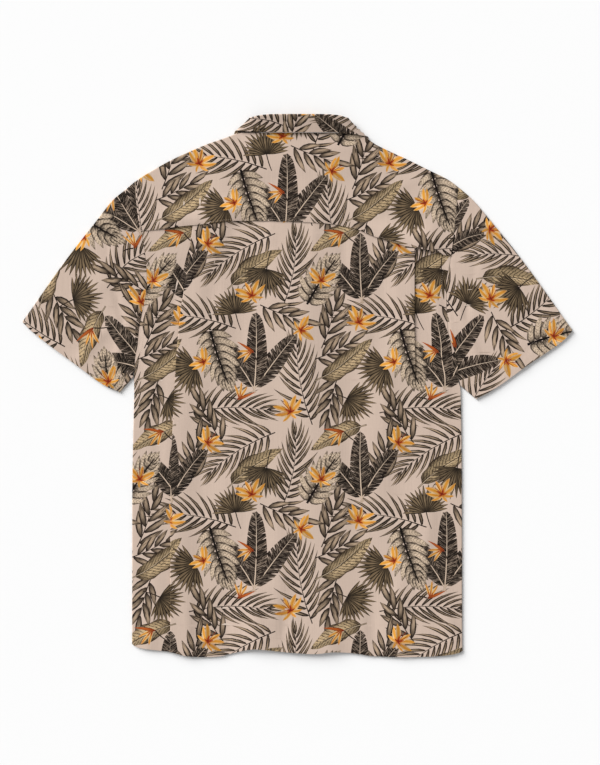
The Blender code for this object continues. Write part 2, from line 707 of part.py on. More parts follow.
def make_stand(collection):
    """The stand: a band round the neck whose ends overlap at the centre front."""
    stations = collar_stations(STAND_LAST_ROW)
    grid = []
    for below_roll in STAND_HEIGHTS:
        line = []
        for side, row in stations:
            neck, roll = collar_line(side, "neck", row), collar_line(side, "roll", row)
            rise = roll - neck
            height = np.linalg.norm(rise)
            share = 1 - min(below_roll, height - SEAM_GAP) / height
            line.append(tuple(neck + rise * share))
        grid.append(line)
    return sheet("collar_stand", collection, grid[::-1], thickness=COLLAR_CLOTH)


def collar_stations(last):
    """Stations from the left end round the centre back to the right end."""
    rows = [0, 0.9, 1.8, 2.5, 3, *np.arange(3.3, 6.0, 0.25), 6.2, 6.6, 7.3, 8.2, 9.3, 10.4, 10.8, 11, 12]
    rows = [row for row in rows if row <= last]
    return [(-1, row) for row in rows[:0:-1]] + [(1, row) for row in rows]


def collar_outward(side, row):
    """The direction away from the neck, square to the stand."""
    ahead, behind = min(row + 0.25, 11.5), max(row - 0.25, 0)
    along = collar_line(side, "roll", ahead) - collar_line(side, "roll", behind)
    if row < 0.2:
        along = np.array([side, 0, 0])
    up = collar_line(side, "roll", row) - collar_line(side, "neck", row)
    outward = np.cross(along, up) * side
    return outward / np.linalg.norm(outward), up / np.linalg.norm(up)


def make_fall(collection):
    """The fall: rolled over the stand's upper edge, down the back outside, and as two leaves in front."""
    grid = []
    for side, row in collar_stations(max(FALL_LAST_ROW.values())):
        last = FALL_LAST_ROW[side]
        if row > last:
            continue
        outward, up = collar_outward(side, row)
        roll = collar_line(side, "roll", row) + up * ROLL_GAP
        edge = collar_line(side, "edge", row * 11 / last)
        line = [roll]
        roll = roll + up * ROLL_START
        for k in range(ARC_STEPS + 1):
            angle = np.pi * k / ARC_STEPS
            line.append(roll + outward * ROLL_RADIUS * (1 - np.cos(angle)) + up * ROLL_RADIUS * np.sin(angle))
        start = line[-1]
        length = np.linalg.norm(edge - start)
        for t in FALL_STEPS:
            bow = start - up * length * FALL_BOW
            line.append((1 - t) ** 2 * start + 2 * t * (1 - t) * bow + t * t * edge)
        grid.append([tuple(p) for p in line])
    return sheet("collar_fall", collection, grid, thickness=COLLAR_CLOTH)


def make_button(name, y, collection):
    mesh = bpy.data.meshes.new(name)
    shape = bmesh.new()
    bmesh.ops.create_cone(
        shape, cap_ends=True, segments=20, radius1=BUTTON_RADIUS * MM, radius2=BUTTON_RADIUS * MM,
        depth=BUTTON_THICKNESS * MM,
    )
    shape.to_mesh(mesh)
    shape.free()
    made = new_object(name, mesh, collection, BUTTON_COLOUR, BUTTON_ROUGHNESS)
    made.location = (0, y * MM, (BUTTON_BOTTOM + BUTTON_THICKNESS / 2) * MM)
    rounding = made.modifiers.new("rounded edge", "BEVEL")
    rounding.width = BUTTON_EDGE * MM
    rounding.segments = 1
    rounding.limit_method = "ANGLE"
    return made


def main():
    for old in list(bpy.data.objects):
        bpy.data.objects.remove(old)
    collection = bpy.data.collections.new(OBJECT)
    bpy.context.scene.collection.children.link(collection)
    make_back(collection)
    make_yoke(collection)
    make_front("front_left", -1, collection)
    make_front("front_right", 1, collection)
    make_sleeve("sleeve_left", -1, collection)
    make_sleeve("sleeve_right", 1, collection)
    make_stand(collection)
    make_fall(collection)
    make_button("button_stand", STAND_BUTTON_Y, collection)
    for k in range(FRONT_BUTTONS):
        make_button(f"button_{k + 1}", FIRST_BUTTON_Y - k * BUTTON_PITCH, collection)


main()
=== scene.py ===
"""A hawaiian shirt laid flat on its front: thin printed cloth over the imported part, its creases and sewing.

Every cloth piece is a sheet. A grid of points follows the part's own form, and each point also has a place in
the flat cloth it was cut from. The leaf and flower print is drawn as outlines in the flat cloth, cut into
triangles there, and carried onto the sheet. Sizes are millimetres until a mesh is made.
"""

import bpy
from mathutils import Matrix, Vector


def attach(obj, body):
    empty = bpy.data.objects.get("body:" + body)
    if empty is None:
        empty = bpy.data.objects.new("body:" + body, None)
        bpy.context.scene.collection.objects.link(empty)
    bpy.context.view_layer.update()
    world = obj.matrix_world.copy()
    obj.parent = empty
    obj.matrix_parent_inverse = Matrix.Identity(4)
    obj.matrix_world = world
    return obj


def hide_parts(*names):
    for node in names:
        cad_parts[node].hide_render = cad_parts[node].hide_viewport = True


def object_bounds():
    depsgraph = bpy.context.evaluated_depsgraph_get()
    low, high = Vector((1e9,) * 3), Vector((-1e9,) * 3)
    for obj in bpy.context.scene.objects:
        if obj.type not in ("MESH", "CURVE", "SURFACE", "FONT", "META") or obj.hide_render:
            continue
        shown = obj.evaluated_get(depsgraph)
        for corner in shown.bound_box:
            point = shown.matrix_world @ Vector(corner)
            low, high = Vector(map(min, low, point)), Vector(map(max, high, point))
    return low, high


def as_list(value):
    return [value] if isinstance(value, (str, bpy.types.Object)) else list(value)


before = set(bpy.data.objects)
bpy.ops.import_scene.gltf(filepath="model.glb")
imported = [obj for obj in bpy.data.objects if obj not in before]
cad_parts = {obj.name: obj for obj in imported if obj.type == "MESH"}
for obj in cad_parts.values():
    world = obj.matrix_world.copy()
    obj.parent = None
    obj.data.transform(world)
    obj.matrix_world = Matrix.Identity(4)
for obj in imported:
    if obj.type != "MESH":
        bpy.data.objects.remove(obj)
cad_low, cad_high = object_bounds()

from copy import copy

import bpy
import numpy as np
from mathutils import Vector
from mathutils.bvhtree import BVHTree
from mathutils.geometry import delaunay_2d_cdt
from mathutils.kdtree import KDTree

MM = 0.001
SLOT_CLOTH = "printed_cloth"
SLOT_BUTTONS = "buttons"

# ---------------------------------------------------------------------------------------------------------
# The garment's sizes, as in the part
# ---------------------------------------------------------------------------------------------------------
CLOTH = 1.0  # the part's wall
SEAM_GAP = 0.3
LAYER = 1.35  # middle to middle of two sheets that lie on each other
FOLD_LIMIT = np.radians(80)  # where each sheet of a side fold stops short of the seam
FOLD_ROOM = 3.2  # the last stretch of a row, which holds the side fold
EDGE_STEPS = (2.7, 2.0, 1.3, 0.6, 0.0)  # its points, as distances from the edge
FOLDED = len(EDGE_STEPS)
ARC_STEPS = 6  # the steps of half a turn
BODY_HALF = 238.0
COLUMN = {-1: "left", 1: "right"}  # a side's column in the tables
SETTLING = 6  # rounds that find a place which depends on itself

# Heights of the two layers above the table
UNDER_MIDDLE = CLOTH / 2
TOP_MIDDLE = 3.0
BUTTON_RISE = 2.8  # the fronts pass over the buttons
LEAF_RISE = 2.0  # and over the collar's front leaves
CENTRE_RISE = 3.0  # the back passes over the overlapped fronts
NECK_RISE = 3.8
BUTTON_BAND = (13, 46)  # each rise is full up to the first distance from the centre and gone by the second
LEAF_BAND = (108, 150)
CENTRE_BAND = (24, 85)
NECK_BAND = (50, 125)
LEAF_START = (238, 268)  # and these two come in between two places along Y
NECK_START = (255, 325)
CALM_SIDE = (225, 238)  # creases die away between these distances from the centre line
CALM_SHOULDER = (5, 30)  # and within these distances of the shoulder's edge
OVERLAP = 17.5  # each front passes the centre line by this much
LAP_FADE = (20, 58)  # the upper front comes down to the table between these distances
FRONT_HEM_LIFT = 1.5  # the fronts' hem stays this far inside the back's
SIDE_TURN = (55, 5)  # the side seam becomes a fold between these distances below the underarm

# The yoke
YOKE_LAP = 6.0  # the back's top edge reaches this far under the yoke
YOKE_LIFT = 1.8  # and the yoke's middle lies this far above the back's
YOKE_SETTLE = (3, 34)  # and comes down between these distances above the back's top edge
FORWARD_SHOULDER = 25.0  # the yoke turns over the shoulder and ends this far down the fronts
NECK_HALF = {-1: 88.0, 1: 93.0}
YOKE_DIP = (0.55, 3.5)  # its folded edge turns down by this much, over this distance
NECK_DIP = (0.5, 4)  # and so does its neckline

# The back's side pleats: each has its fold towards the armhole and its inner fold behind it
PLEAT_TURN_RADIUS = LAYER / 2
PLEAT_TURN_STEPS = 4
PLEAT_FLAT_STEP = 0.35  # the points' spacing where a pleat lies open
LEAST_TURN = 0.002  # a step's turn, in radians, up to which it does
PLEAT_BLEND = 45.0  # the back climbs onto a pleat's folds over this distance
PLEAT_MARGIN = 4.0  # which ends this far inside the inner fold
COVER_BLEND = 70.0  # the yoke climbs onto them from this far inside the inner fold
COVER_MARGIN = 22.0  # is up by this distance inside it, and stays up as far outside
COVER_END = 50.0  # and is down again this far outside

# The sleeves, hems and buttons
UNDERARM_CLEARANCE = 1.4
UNDERARM_GAP = 1.5  # the sleeve's seam stops this far above the underarm
HEM_RISE = 0.25  # a hem is turned up inside, so the cloth stands higher there by this much
HEM_BLEND = 1.5  # and comes down within this distance of its stitches
HEM_TURN = (19.0, 0.2, 1.8)  # how far up the stitches are, and the depth and half width of the dip they make
CUFF_TURN = (22.0, 0.25, 2.2)
BUTTON_RADIUS = 5.6
BUTTON_THICKNESS = 2.2
BUTTON_BOTTOM = 0.25
STAND_BUTTON_Y = 320.0
FIRST_BUTTON_Y = 246.0
BUTTON_PITCH = 90.0
FRONT_BUTTONS = 6

# The cloth that shows
SHELL = 0.6
COLLAR_SHELL = 1.0
STEP = 6.0  # spacing of the grids' points where the cloth is smooth


class Table:
    """Rows of numbers under named columns. at() reads one column along a smooth curve through the rows."""

    def __init__(self, columns, *rows):
        values = np.array(sorted(rows), float).T
        self.columns = dict(zip(columns.split(), values))
        self.key = self.columns[columns.split()[0]]

    def at(self, column, place):
        """Monotone cubic interpolation: it never swings past a row's own value."""
        x, y = self.key, self.columns[column]
        step = np.diff(x)
        rise = np.diff(y) / step
        same_way = rise[:-1] * rise[1:] > 0
        inner = np.where(same_way, 2 * rise[:-1] * rise[1:] / np.where(same_way, rise[:-1] + rise[1:], 1), 0)
        slope = np.concatenate(([rise[0]], inner, [rise[-1]]))
        place = np.clip(np.asarray(place, float), x[0], x[-1])
        i = np.clip(np.searchsorted(x, place) - 1, 0, len(step) - 1)
        t = (place - x[i]) / step[i]
        start = (1 + 2 * t) * (1 - t) ** 2 * y[i] + t * (1 - t) ** 2 * step[i] * slope[i]
        end = t**2 * (3 - 2 * t) * y[i + 1] - t**2 * (1 - t) * step[i] * slope[i + 1]
        return start + end


# The top edge of the garment from the neck along the shoulder and sleeve to the cuff, on each side
SHOULDER_LINE = {
    -1: Table(
        "out y",
        (88, 369.2), (106, 362.1), (132, 353.3), (152.6, 344.6), (184.7, 330), (211, 315.4),
        (234.3, 300.8), (251.9, 286.2), (269.4, 271.6), (292.7, 242.4), (338, 184), (401.5, 93.6),
    ),
    1: Table(
        "out y",
        (93, 366.2), (105.9, 358.6), (113.2, 353.3), (130.7, 344.6), (162.8, 330), (192, 315.4),
        (221.2, 300.8), (240.2, 286.2), (256.2, 271.6), (281.1, 242.4), (327.8, 184), (401.5, 81.0),
    ),
}
ARMHOLE = Table(
    "y left right",
    (0, 239.4, 236.2), (15, 238.6, 235.0), (38, 237.3, 232.9), (60, 233.5, 226.0), (82, 231.4, 219.5),
    (115, 225.0, 217.6), (148, 219.7, 217.0), (181, 221.2, 222.5), (215, 226.0, 227.5),
    (251, 233.5, 231.0), (283, 235.8, 234.3), (305, 235.0, 236.0),
)
ARMHOLE_TOP = {-1: 300.2, 1: 289.5}
UNDERARM = {-1: 13.1, 1: 1.3}
CUFF = {
    -1: Table(
        "share out y",
        (0, 401.0, 92.6), (0.1, 390.0, 81.6), (0.5, 333.6, 38.4), (0.9, 271.5, -4.4), (1, 260.4, -8.0),
    ),
    1: Table(
        "share out y",
        (0, 401.0, 80.0), (0.1, 391.0, 69.0), (0.5, 336.4, 30.5), (0.9, 280.5, -8.6), (1, 261.8, -18.0),
    ),
}
SIDE = Table(
    "y left right",
    (-400, 242.5, 242.0), (-370, 241.8, 240.8), (-160, 241.6, 240.4), (-70, 240.2, 239.8),
    (-15, 238.8, 238.6), (15, 239.2, 236.4),
)
HEM = Table(
    "x y",
    (-241, -377.0), (-236, -381.0), (-220, -384.0), (-185, -388.4), (-160, -394.6), (-140, -395.7),
    (-116, -394.8), (-97, -391.0), (-80, -386.6), (-62, -384.0), (-44, -385.4), (-10, -389.1),
    (25, -391.0), (52, -388.4), (78, -389.8), (113, -394.6), (155, -395.7), (200, -394.9), (236, -389.8),
    (241, -386.5),
)
YOKE_SEAM = Table(
    "x y",
    (-238, 225.5), (-201, 228.5), (-177, 232.1), (-136, 236.1), (-94, 240.9), (-40, 240.6), (0, 239.2),
    (47, 236.5), (72, 232.1), (87, 228.6), (106, 220.5), (120, 215.5), (150, 205.9), (186, 198.6),
    (217, 190.5), (238, 186.0),
)
PLEAT = {
    -1: Table(
        "y fold depth turn",
        (-400, -184.7, 1, 60), (-270, -184.5, 2.5, 150), (-160, -184.2, 4, 180), (24, -177.4, 7, 180),
        (112, -170.1, 9, 180), (149, -164.3, 13, 180), (240, -151.7, 21, 180),
    ),
    1: Table(
        "y fold depth turn",
        (-400, 172.0, 2, 0), (20, 171.0, 2, 0), (90, 170.5, 2, 180), (135, 170.1, 5, 180),
        (240, 170.1, 11, 180),
    ),
}
NECK_BACK = {
    -1: Table("out y", (0, 369.4), (45, 369.4), (70, 369.5), (82, 369.4), (88, 369.2)),
    1: Table("out y", (0, 369.4), (45, 369.2), (70, 368.4), (84, 367.2), (93, 366.2)),
}
NECK_FRONT = {
    -1: Table("out y", (0, 303.0), (17, 303.8), (36, 308.0), (62, 321.5), (80, 336.0), (88, 344.2)),
    1: Table("out y", (0, 303.0), (17, 303.8), (37, 308.0), (64, 321.0), (83, 335.0), (93, 341.2)),
}
SOFT_FOLDS = (
    # x, y, heading, length, width, height
    (-62, -350, 92, 95, 17, 3.4),
    (-216, -355, 84, 80, 12, 1.6),
    (48, -365, 95, 75, 15, 1.7),
    (222, -350, 96, 90, 10, 1.3),
    (-112, 120, 86, 90, 9, 0.9),
    (92, 130, 95, 85, 10, 0.9),
    (10, 60, 89, 150, 22, 0.8),
    (-268, 190, 96, 30, 5, 1.5),
    (292, 150, 118, 60, 12, 1.1),
    (-318, 110, 55, 65, 12, 1.1),
    (-150, 292, 150, 60, 10, 0.9),
    (140, 285, 30, 60, 10, 0.9),
)
COLLAR = {
    -1: Table(
        "row neck_out neck_y roll_out roll_y roll_z edge_out edge_y edge_z",
        (0, 0, 369.8, 0, 392.6, 13.5, 0, 369.6, 10.4),
        (1, 36, 369.8, 34, 392.5, 13.3, 37, 370.0, 10.3),
        (2, 62, 370.1, 57, 390.8, 12.4, 63, 370.8, 9.7),
        (3, 77, 370.1, 66, 388.9, 10.9, 78, 371.4, 8.6),
        (4, 84.5, 370.3, 69.6, 387.4, 8.8, 86.5, 372.4, 7.0),
        (5, 87.0, 370.5, 70.6, 386.0, 6.6, 89.5, 372.8, 4.2),
        (6, 87.0, 366.6, 69.6, 384.0, 4.6, 92, 370.6, 1.0),
        (7, 86.8, 351.0, 64, 375.5, 3.8, 94, 351.0, 0.62),
        (8, 79.5, 336.4, 52, 361.0, 3.5, 90.5, 330.0, 0.6),
        (9, 61.5, 321.9, 36, 348.8, 3.4, 85.5, 311.0, 0.6),
        (10, 36, 308.4, 18, 341.2, 3.4, 79.5, 293.0, 0.6),
        (11, 0, 303.4, 1, 337.4, 3.5, 73, 276.0, 0.6),
        (12, -17, 304.2, -6, 337.0, 3.5, 73, 276.0, 0.6),
    ),
    1: Table(
        "row neck_out neck_y roll_out roll_y roll_z edge_out edge_y edge_z",
        (0, 0, 369.8, 0, 392.6, 13.5, 0, 369.6, 10.4),
        (1, 38, 369.7, 36, 392.5, 13.3, 38, 369.8, 10.3),
        (2, 64, 369.2, 60, 391.0, 12.4, 65, 369.2, 9.7),
        (3, 81, 368.0, 69.5, 388.9, 10.9, 83, 366.9, 8.6),
        (4, 89.5, 367.0, 73.4, 387.2, 8.8, 94, 364.9, 7.4),
        (5, 92.0, 367.4, 74.6, 385.6, 6.6, 101.5, 364.0, 4.2),
        (6, 92.0, 363.6, 73.6, 383.4, 4.6, 104, 361.4, 1.0),
        (7, 91.8, 348.6, 67.5, 374.0, 3.8, 102, 343.0, 0.62),
        (8, 82.5, 335.2, 55, 360.0, 3.5, 99, 325.0, 0.6),
        (9, 63.5, 321.3, 37, 348.4, 3.4, 91.5, 308.0, 0.6),
        (10, 37, 308.4, 18, 341.2, 3.4, 83.5, 292.0, 0.6),
        (11, 0, 303.4, 1, 337.4, 3.5, 74.5, 276.0, 0.6),
        (12, -17, 304.2, -6, 337.0, 3.5, 74.5, 276.0, 0.6),
    ),
}
ROLL_RADIUS = 1.15
ROLL_GAP = 0.6
ROLL_START = 1.0  # the fall first follows the stand's plane
FALL_LAST_ROW = {-1: 10.8, 1: 10.4}
FALL_BOW = 0.33
STAND_LAST_ROW = 12
NECK_TURN = (3.6, 6.4)  # the rows over which the neckline passes from the top layer to the under one
STAND_LAP = (9.4, 10.8)  # and those over which one end of the stand climbs onto the other

# ---------------------------------------------------------------------------------------------------------
# The creases, which the part leaves out. Ridges have a height above 0 and troughs one below
# ---------------------------------------------------------------------------------------------------------
TOP_CREASES = (
    # x, y, heading, length, width, height
    (-120, 196, 84, 36, 5.0, 0.55),
    (-96, 205, 97, 26, 4.0, -0.4),
    (-40, 214, 92, 30, 4.5, 0.45),
    (22, 210, 88, 34, 5.0, 0.4),
    (66, 203, 95, 26, 4.0, -0.4),
    (118, 182, 84, 38, 5.5, 0.5),
    (150, 172, 95, 30, 4.5, -0.35),
    (-177, 142, 78, 34, 5.0, -1.0),
    (-205, 120, 80, 60, 8.0, 0.5),
    (-214, 30, 96, 70, 8.0, 0.6),
    (-203, -60, 88, 90, 7.0, -0.5),
    (-210, -190, 93, 80, 8.0, 0.5),
    (206, 95, 100, 60, 7.0, 0.6),
    (214, 5, 84, 60, 7.5, 0.6),
    (205, -110, 93, 95, 8.0, -0.5),
    (190, -230, 87, 100, 10.0, 0.6),
    (150, -330, 92, 70, 12.0, 0.8),
    (110, -352, 97, 45, 9.0, -0.8),
    (-20, -352, 88, 42, 9.0, -0.9),
    (-105, -350, 96, 46, 10.0, -0.9),
    (-160, -352, 90, 50, 10.0, 0.8),
    (-140, 20, 92, 120, 12.0, 0.5),
    (-60, -60, 86, 140, 14.0, 0.55),
    (60, -140, 94, 150, 14.0, 0.5),
    (108, -100, 91, 110, 24.0, 1.1),
    (84, 110, 96, 70, 20.0, 0.9),
    (-98, -130, 87, 140, 26.0, 0.9),
    (-112, 90, 84, 80, 21.0, 0.8),
    (8, 40, 94, 120, 26.0, 0.8),
    (176, -240, 95, 80, 22.0, 0.9),
    (-30, -290, 88, 70, 25.0, 0.7),
    (182, 214, 62, 48, 18.0, 0.8),
    (130, -20, 88, 130, 12.0, 0.5),
    (-10, -230, 92, 120, 16.0, -0.5),
    (-120, 330, 155, 30, 7.0, 0.4),
    (-60, 350, 12, 40, 6.0, 0.35),
    (60, 348, 170, 42, 6.0, 0.35),
    (190, 262, 40, 34, 7.0, 0.5),
    (-190, 262, 138, 34, 7.0, 0.5),
    (-258, 60, 70, 60, 7.0, 0.6),
    (-262, 120, 105, 44, 5.5, -0.5),
    (-300, 60, 48, 50, 8.0, 0.6),
    (-340, 100, 132, 40, 8.0, -0.5),
    (-290, 205, 125, 40, 6.0, 0.5),
    (255, 60, 112, 55, 7.0, 0.6),
    (250, 130, 80, 40, 5.5, -0.5),
    (300, 60, 130, 50, 8.0, 0.6),
    (338, 100, 45, 40, 8.0, -0.5),
    (286, 205, 55, 38, 6.0, 0.5),
)
CREASE_SCALE = 2.6
UNDER_CREASES = (
    # x, y, heading, length, width, height: all ridges, because the table is below them
    (-190, 180, 120, 60, 9.0, 0.8),
    (-150, 60, 82, 110, 12.0, 0.7),
    (-205, -80, 97, 120, 10.0, 0.9),
    (-90, -180, 88, 140, 13.0, 0.7),
    (-170, -330, 93, 60, 11.0, 1.0),
    (-60, 150, 100, 60, 9.0, 0.6),
    (190, 190, 62, 60, 9.0, 0.8),
    (140, 40, 96, 120, 12.0, 0.7),
    (210, -70, 85, 100, 10.0, 0.9),
    (95, -200, 93, 130, 13.0, 0.7),
    (160, -335, 88, 60, 11.0, 1.0),
    (60, 160, 82, 60, 9.0, 0.6),
    (-300, 80, 55, 60, 8.0, 0.7),
    (-262, 130, 100, 50, 7.0, 0.6),
    (300, 70, 128, 60, 8.0, 0.7),
    (262, 130, 82, 50, 7.0, 0.6),
)
CREASE_BEND = 0.35  # a crease's ends turn aside by this share of its width
SEAM_DIP = (0.45, 4.0)  # the cloth turns down into a seam by this much, over this distance
PUCKER = 0.16  # the small waves that the stitches draw into a seam
PUCKER_WIDTH = 11.0


def ease(value, start, end):
    """0 up to start, 1 from end, and a smooth rise between them."""
    t = np.clip((np.asarray(value, float) - start) / (end - start), 0, 1)
    return t * t * (3 - 2 * t)


def band(value, half_flat, half_wide):
    """1 within half_flat of zero, 0 from half_wide."""
    return 1 - ease(np.abs(value), half_flat, half_wide)


def folds(table, x, y, bend=0.0):
    """The height that a table's ridges and troughs add."""
    total = 0.0
    for fold_x, fold_y, heading, length, width, height in table:
        turn = np.radians(heading)
        along = ((x - fold_x) * np.cos(turn) + (y - fold_y) * np.sin(turn)) / length
        across = (y - fold_y) * np.cos(turn) - (x - fold_x) * np.sin(turn)
        total = total + height * np.exp(-(along**2) - (across / width + bend * along**2) ** 2)
    return total


def by_side(x, read):
    """What read gives for the left side where x is below 0, and for the right side elsewhere."""
    return np.where(np.asarray(x) < 0, read(-1), read(1))


def calm(x, y):
    """Folds and creases die away towards the garment's side folds and shoulder folds."""
    out = np.abs(x)
    below_shoulder = by_side(x, lambda side: SHOULDER_LINE[side].at("y", out)) - y
    return np.where(np.asarray(y) > 0, ease(below_shoulder, *CALM_SHOULDER), 1 - ease(out, *CALM_SIDE))


def over_leaves(x, y):
    return LEAF_RISE * ease(y, *LEAF_START) * band(x, *LEAF_BAND)


def under_height(x, y):
    """Middle of the layer that rests on the table."""
    rise = np.maximum(BUTTON_RISE * band(x, *BUTTON_BAND), over_leaves(x, y))
    return UNDER_MIDDLE + rise + folds(UNDER_CREASES, x, y, CREASE_BEND) * calm(x, y)


def top_height(x, y):
    """Middle of the layer that is seen from above."""
    over_neck = NECK_RISE * ease(y, *NECK_START) * band(x, *NECK_BAND)
    rise = np.maximum(np.maximum(CENTRE_RISE * band(x, *CENTRE_BAND), over_neck), over_leaves(x, y))
    creases = folds(SOFT_FOLDS, x, y) + CREASE_SCALE * folds(TOP_CREASES, x, y, CREASE_BEND)
    return TOP_MIDDLE + rise + creases * calm(x, y)


def body_edge(side, y):
    """Distance from the centre line to the body's edge: the armhole seam, and the side fold below it."""
    armhole = ARMHOLE.at(COLUMN[side], y) - SEAM_GAP / 2
    return np.where(np.asarray(y) > UNDERARM[side], armhole, SIDE.at(COLUMN[side], y) - CLOTH / 2)


def edge_of_row(side, y_at):
    """Where a row meets the body's edge: the distance out, and y."""
    edge = BODY_HALF
    for _ in range(SETTLING):
        y = float(y_at(side * edge))
        edge = float(body_edge(side, y))
    return edge, y


def side_fold(side, y, layers, down):
    """Points from inside to the fold's outermost line: distances out, and heights.

    layers gives the two layers' heights there. The fold turns down from the top layer or up from the other.
    """
    start, end = SIDE_TURN
    turned = 1 - ease(y, UNDERARM[side] - start, UNDERARM[side] - end)  # 0 where the edge is the armhole seam
    top, under = layers
    radius = (top - under) / 2
    angle = FOLD_LIMIT * np.arange(1, FOLDED + 1) / FOLDED
    drop = turned * radius * (1 - np.cos(angle))
    out = body_edge(side, y) - (1 - turned) * np.array(EDGE_STEPS) - turned * radius * (1 - np.sin(angle))
    return out, top - drop if down else under + drop


def heights(x, y):
    return float(top_height(x, y)), float(under_height(x, y))


def pleat_path(side, y):
    """One pleat's points from its centre side to its outer side: x, rise and the place across the cloth."""
    fold, depth, turn = (float(PLEAT[side].at(name, y)) for name in ("fold", "depth", "turn"))
    turn_step = np.radians(turn) / PLEAT_TURN_STEPS
    chord = 2 * PLEAT_TURN_RADIUS * np.sin(turn_step / 2) if turn_step > LEAST_TURN else PLEAT_FLAT_STEP
    path = [(0.0, 0.0, 0.0)]
    heading = 0.0

    def go(length):
        across, rise, cloth = path[-1]
        path.append((across + length * np.cos(heading), rise - length * np.sin(heading), cloth + length))

    for direction in (1, -1):
        for _ in range(PLEAT_TURN_STEPS):
            heading += direction * turn_step / 2
            go(chord)
            heading += direction * turn_step / 2
        if direction == 1:
            go(depth / 2)
            go(depth / 2)
    across, rise, cloth = np.array(path).T
    return fold + side * across, rise - rise[-1], fold + side * cloth


def pleat_rise(x, y):
    """How far the pleats' folds lift the centre of the back above its base layer."""
    total = 0.0
    for side in (-1, 1):
        path_x, rise, _ = pleat_path(side, y)
        inner = min(side * path_x)
        inside = side * np.asarray(x)
        climb = ease(inside, inner - PLEAT_BLEND, inner - PLEAT_MARGIN)
        total = total + rise[0] * climb * (inside < side * path_x[0] + 0.01)
    return total


def pleat_cover(x):
    """The pleats' height under the yoke, carried a little past their folds so that the yoke clears them."""
    total = 0.0
    for side in (-1, 1):
        path_x, rise, _ = pleat_path(side, float(YOKE_SEAM.at("y", PLEAT[side].columns["fold"][-1])))
        inner = min(side * path_x)
        climb = ease(side * x, inner - COVER_BLEND, inner - COVER_MARGIN)
        total = total + rise[0] * climb * (1 - ease(side * (x - path_x[0]), COVER_MARGIN, COVER_END))
    return total


def steps(length):
    """How many grid steps a length of smooth cloth gets."""
    return int(np.ceil(length / STEP))


def run(across, up):
    """Length along a line from its first point."""
    return np.append(0, np.cumsum(np.hypot(np.diff(across), np.diff(up))))


def sides(triangles):
    """The three edges of each triangle, with the triangle that each belongs to."""
    edges = np.concatenate([triangles[:, [0, 1]], triangles[:, [1, 2]], triangles[:, [2, 0]]])
    return edges, np.tile(np.arange(len(triangles)), 3)


def rim(triangles):
    """The open edges of a set of triangles, each in its own triangle's direction."""
    edges, _ = sides(triangles)
    _, first, count = np.unique(np.sort(edges, axis=1), axis=0, return_index=True, return_counts=True)
    return edges[first[count == 1]]


def double_area(a, b, c):
    """Twice the area of the triangles between three rows of places, above 0 where they turn anticlockwise."""
    return (b[:, 0] - a[:, 0]) * (c[:, 1] - a[:, 1]) - (c[:, 0] - a[:, 0]) * (b[:, 1] - a[:, 1])


def flat_tree(places, triangles):
    points = np.column_stack([places, np.zeros(len(places))])
    return BVHTree.FromPolygons(points.tolist(), triangles.tolist(), epsilon=0.0)


def face_at(tree, places):
    """The face of a flat tree at each place, or -1."""
    down = Vector((0, 0, -1))
    found = [tree.ray_cast(Vector((x, y, 1)), down, 2)[2] for x, y in places]
    return np.array([-1 if face is None else face for face in found], int)


class Sheet:
    """A grid of points through the middle of the cloth, with each point's place in the flat cloth.

    lines lists the grid's columns ("c", k) and rows ("r", k) where the cloth turns sharply. outside is +1
    where the outer face is on the side that the grid's own turning gives, and -1 on the other.
    """

    def __init__(self, points, cloth, lines=(), outside=1, present=None):
        self.points = np.array(points, float)
        self.cloth = np.array(cloth, float)
        self.flat = self.cloth.reshape(-1, 2)
        self.lines = lines
        normal = np.cross(np.gradient(self.points, axis=1), np.gradient(self.points, axis=0)) * outside
        self.normals = normal / np.linalg.norm(normal, axis=2, keepdims=True)
        rows, columns = self.points.shape[:2]
        i, j = np.nonzero(np.ones((rows - 1, columns - 1), bool) if present is None else present)
        a = i * columns + j
        self.triangles = np.concatenate([
            np.stack([a, a + 1, a + columns + 1], 1), np.stack([a, a + columns + 1, a + columns], 1),
        ])
        self.used = np.unique(self.triangles)
        self.tree = flat_tree(self.flat, self.triangles)
        # +1 where the outer face is on the left of the grid's triangles as they turn in the flat cloth
        self.way = np.sign(double_area(*self.flat[self.triangles.T]).sum()) * outside

    def inner_lines(self):
        """The edges along the sharply turned columns and rows, as pairs of grid points."""
        index = np.arange(len(self.flat)).reshape(self.points.shape[:2])
        pairs = [np.zeros((0, 2), int)]
        for kind, k in self.lines:
            line = index[:, k] if kind == "c" else index[k, :]
            pairs.append(np.stack([line[:-1], line[1:]], 1))
        pairs = np.concatenate(pairs)
        return pairs[np.isin(pairs, self.used).all(1)]

    def carry(self, places):
        """The points and normals on the draped cloth for places in the flat cloth."""
        found = np.array([self.tree.find_nearest(Vector((x, y, 0)))[2] for x, y in places])
        corner = self.triangles[found]
        a, b, c = self.flat[corner.T]
        area = double_area(a, b, c)
        v, w = double_area(a, places, c) / area, double_area(a, b, places) / area
        share = np.stack([1 - v - w, v, w], 1)[:, :, None]
        grids = (self.points.reshape(-1, 3), self.normals.reshape(-1, 3))
        points, normals = ((grid[corner] * share).sum(1) for grid in grids)
        return points, normals / np.linalg.norm(normals, axis=1, keepdims=True)


def lengths_along(points, axis):
    """Running length of a grid's lines along one axis."""
    step = np.linalg.norm(np.diff(points, axis=axis), axis=2)
    start = np.zeros_like(np.take(step, [0], axis=axis))
    return np.concatenate([start, np.cumsum(step, axis=axis)], axis=axis)


# ---------------------------------------------------------------------------------------------------------
# The drape of each piece
# ---------------------------------------------------------------------------------------------------------
def pucker(along, distance):
    """Small uneven waves along a seam, which die away from it."""
    wave = np.sin(along * 0.62 + 1.7 * np.sin(along * 0.083))
    wave = wave + 0.6 * np.sin(along * 0.91 + 2.1 * np.sin(along * 0.061))
    return PUCKER * wave * np.exp(-((distance / PUCKER_WIDTH) ** 2))


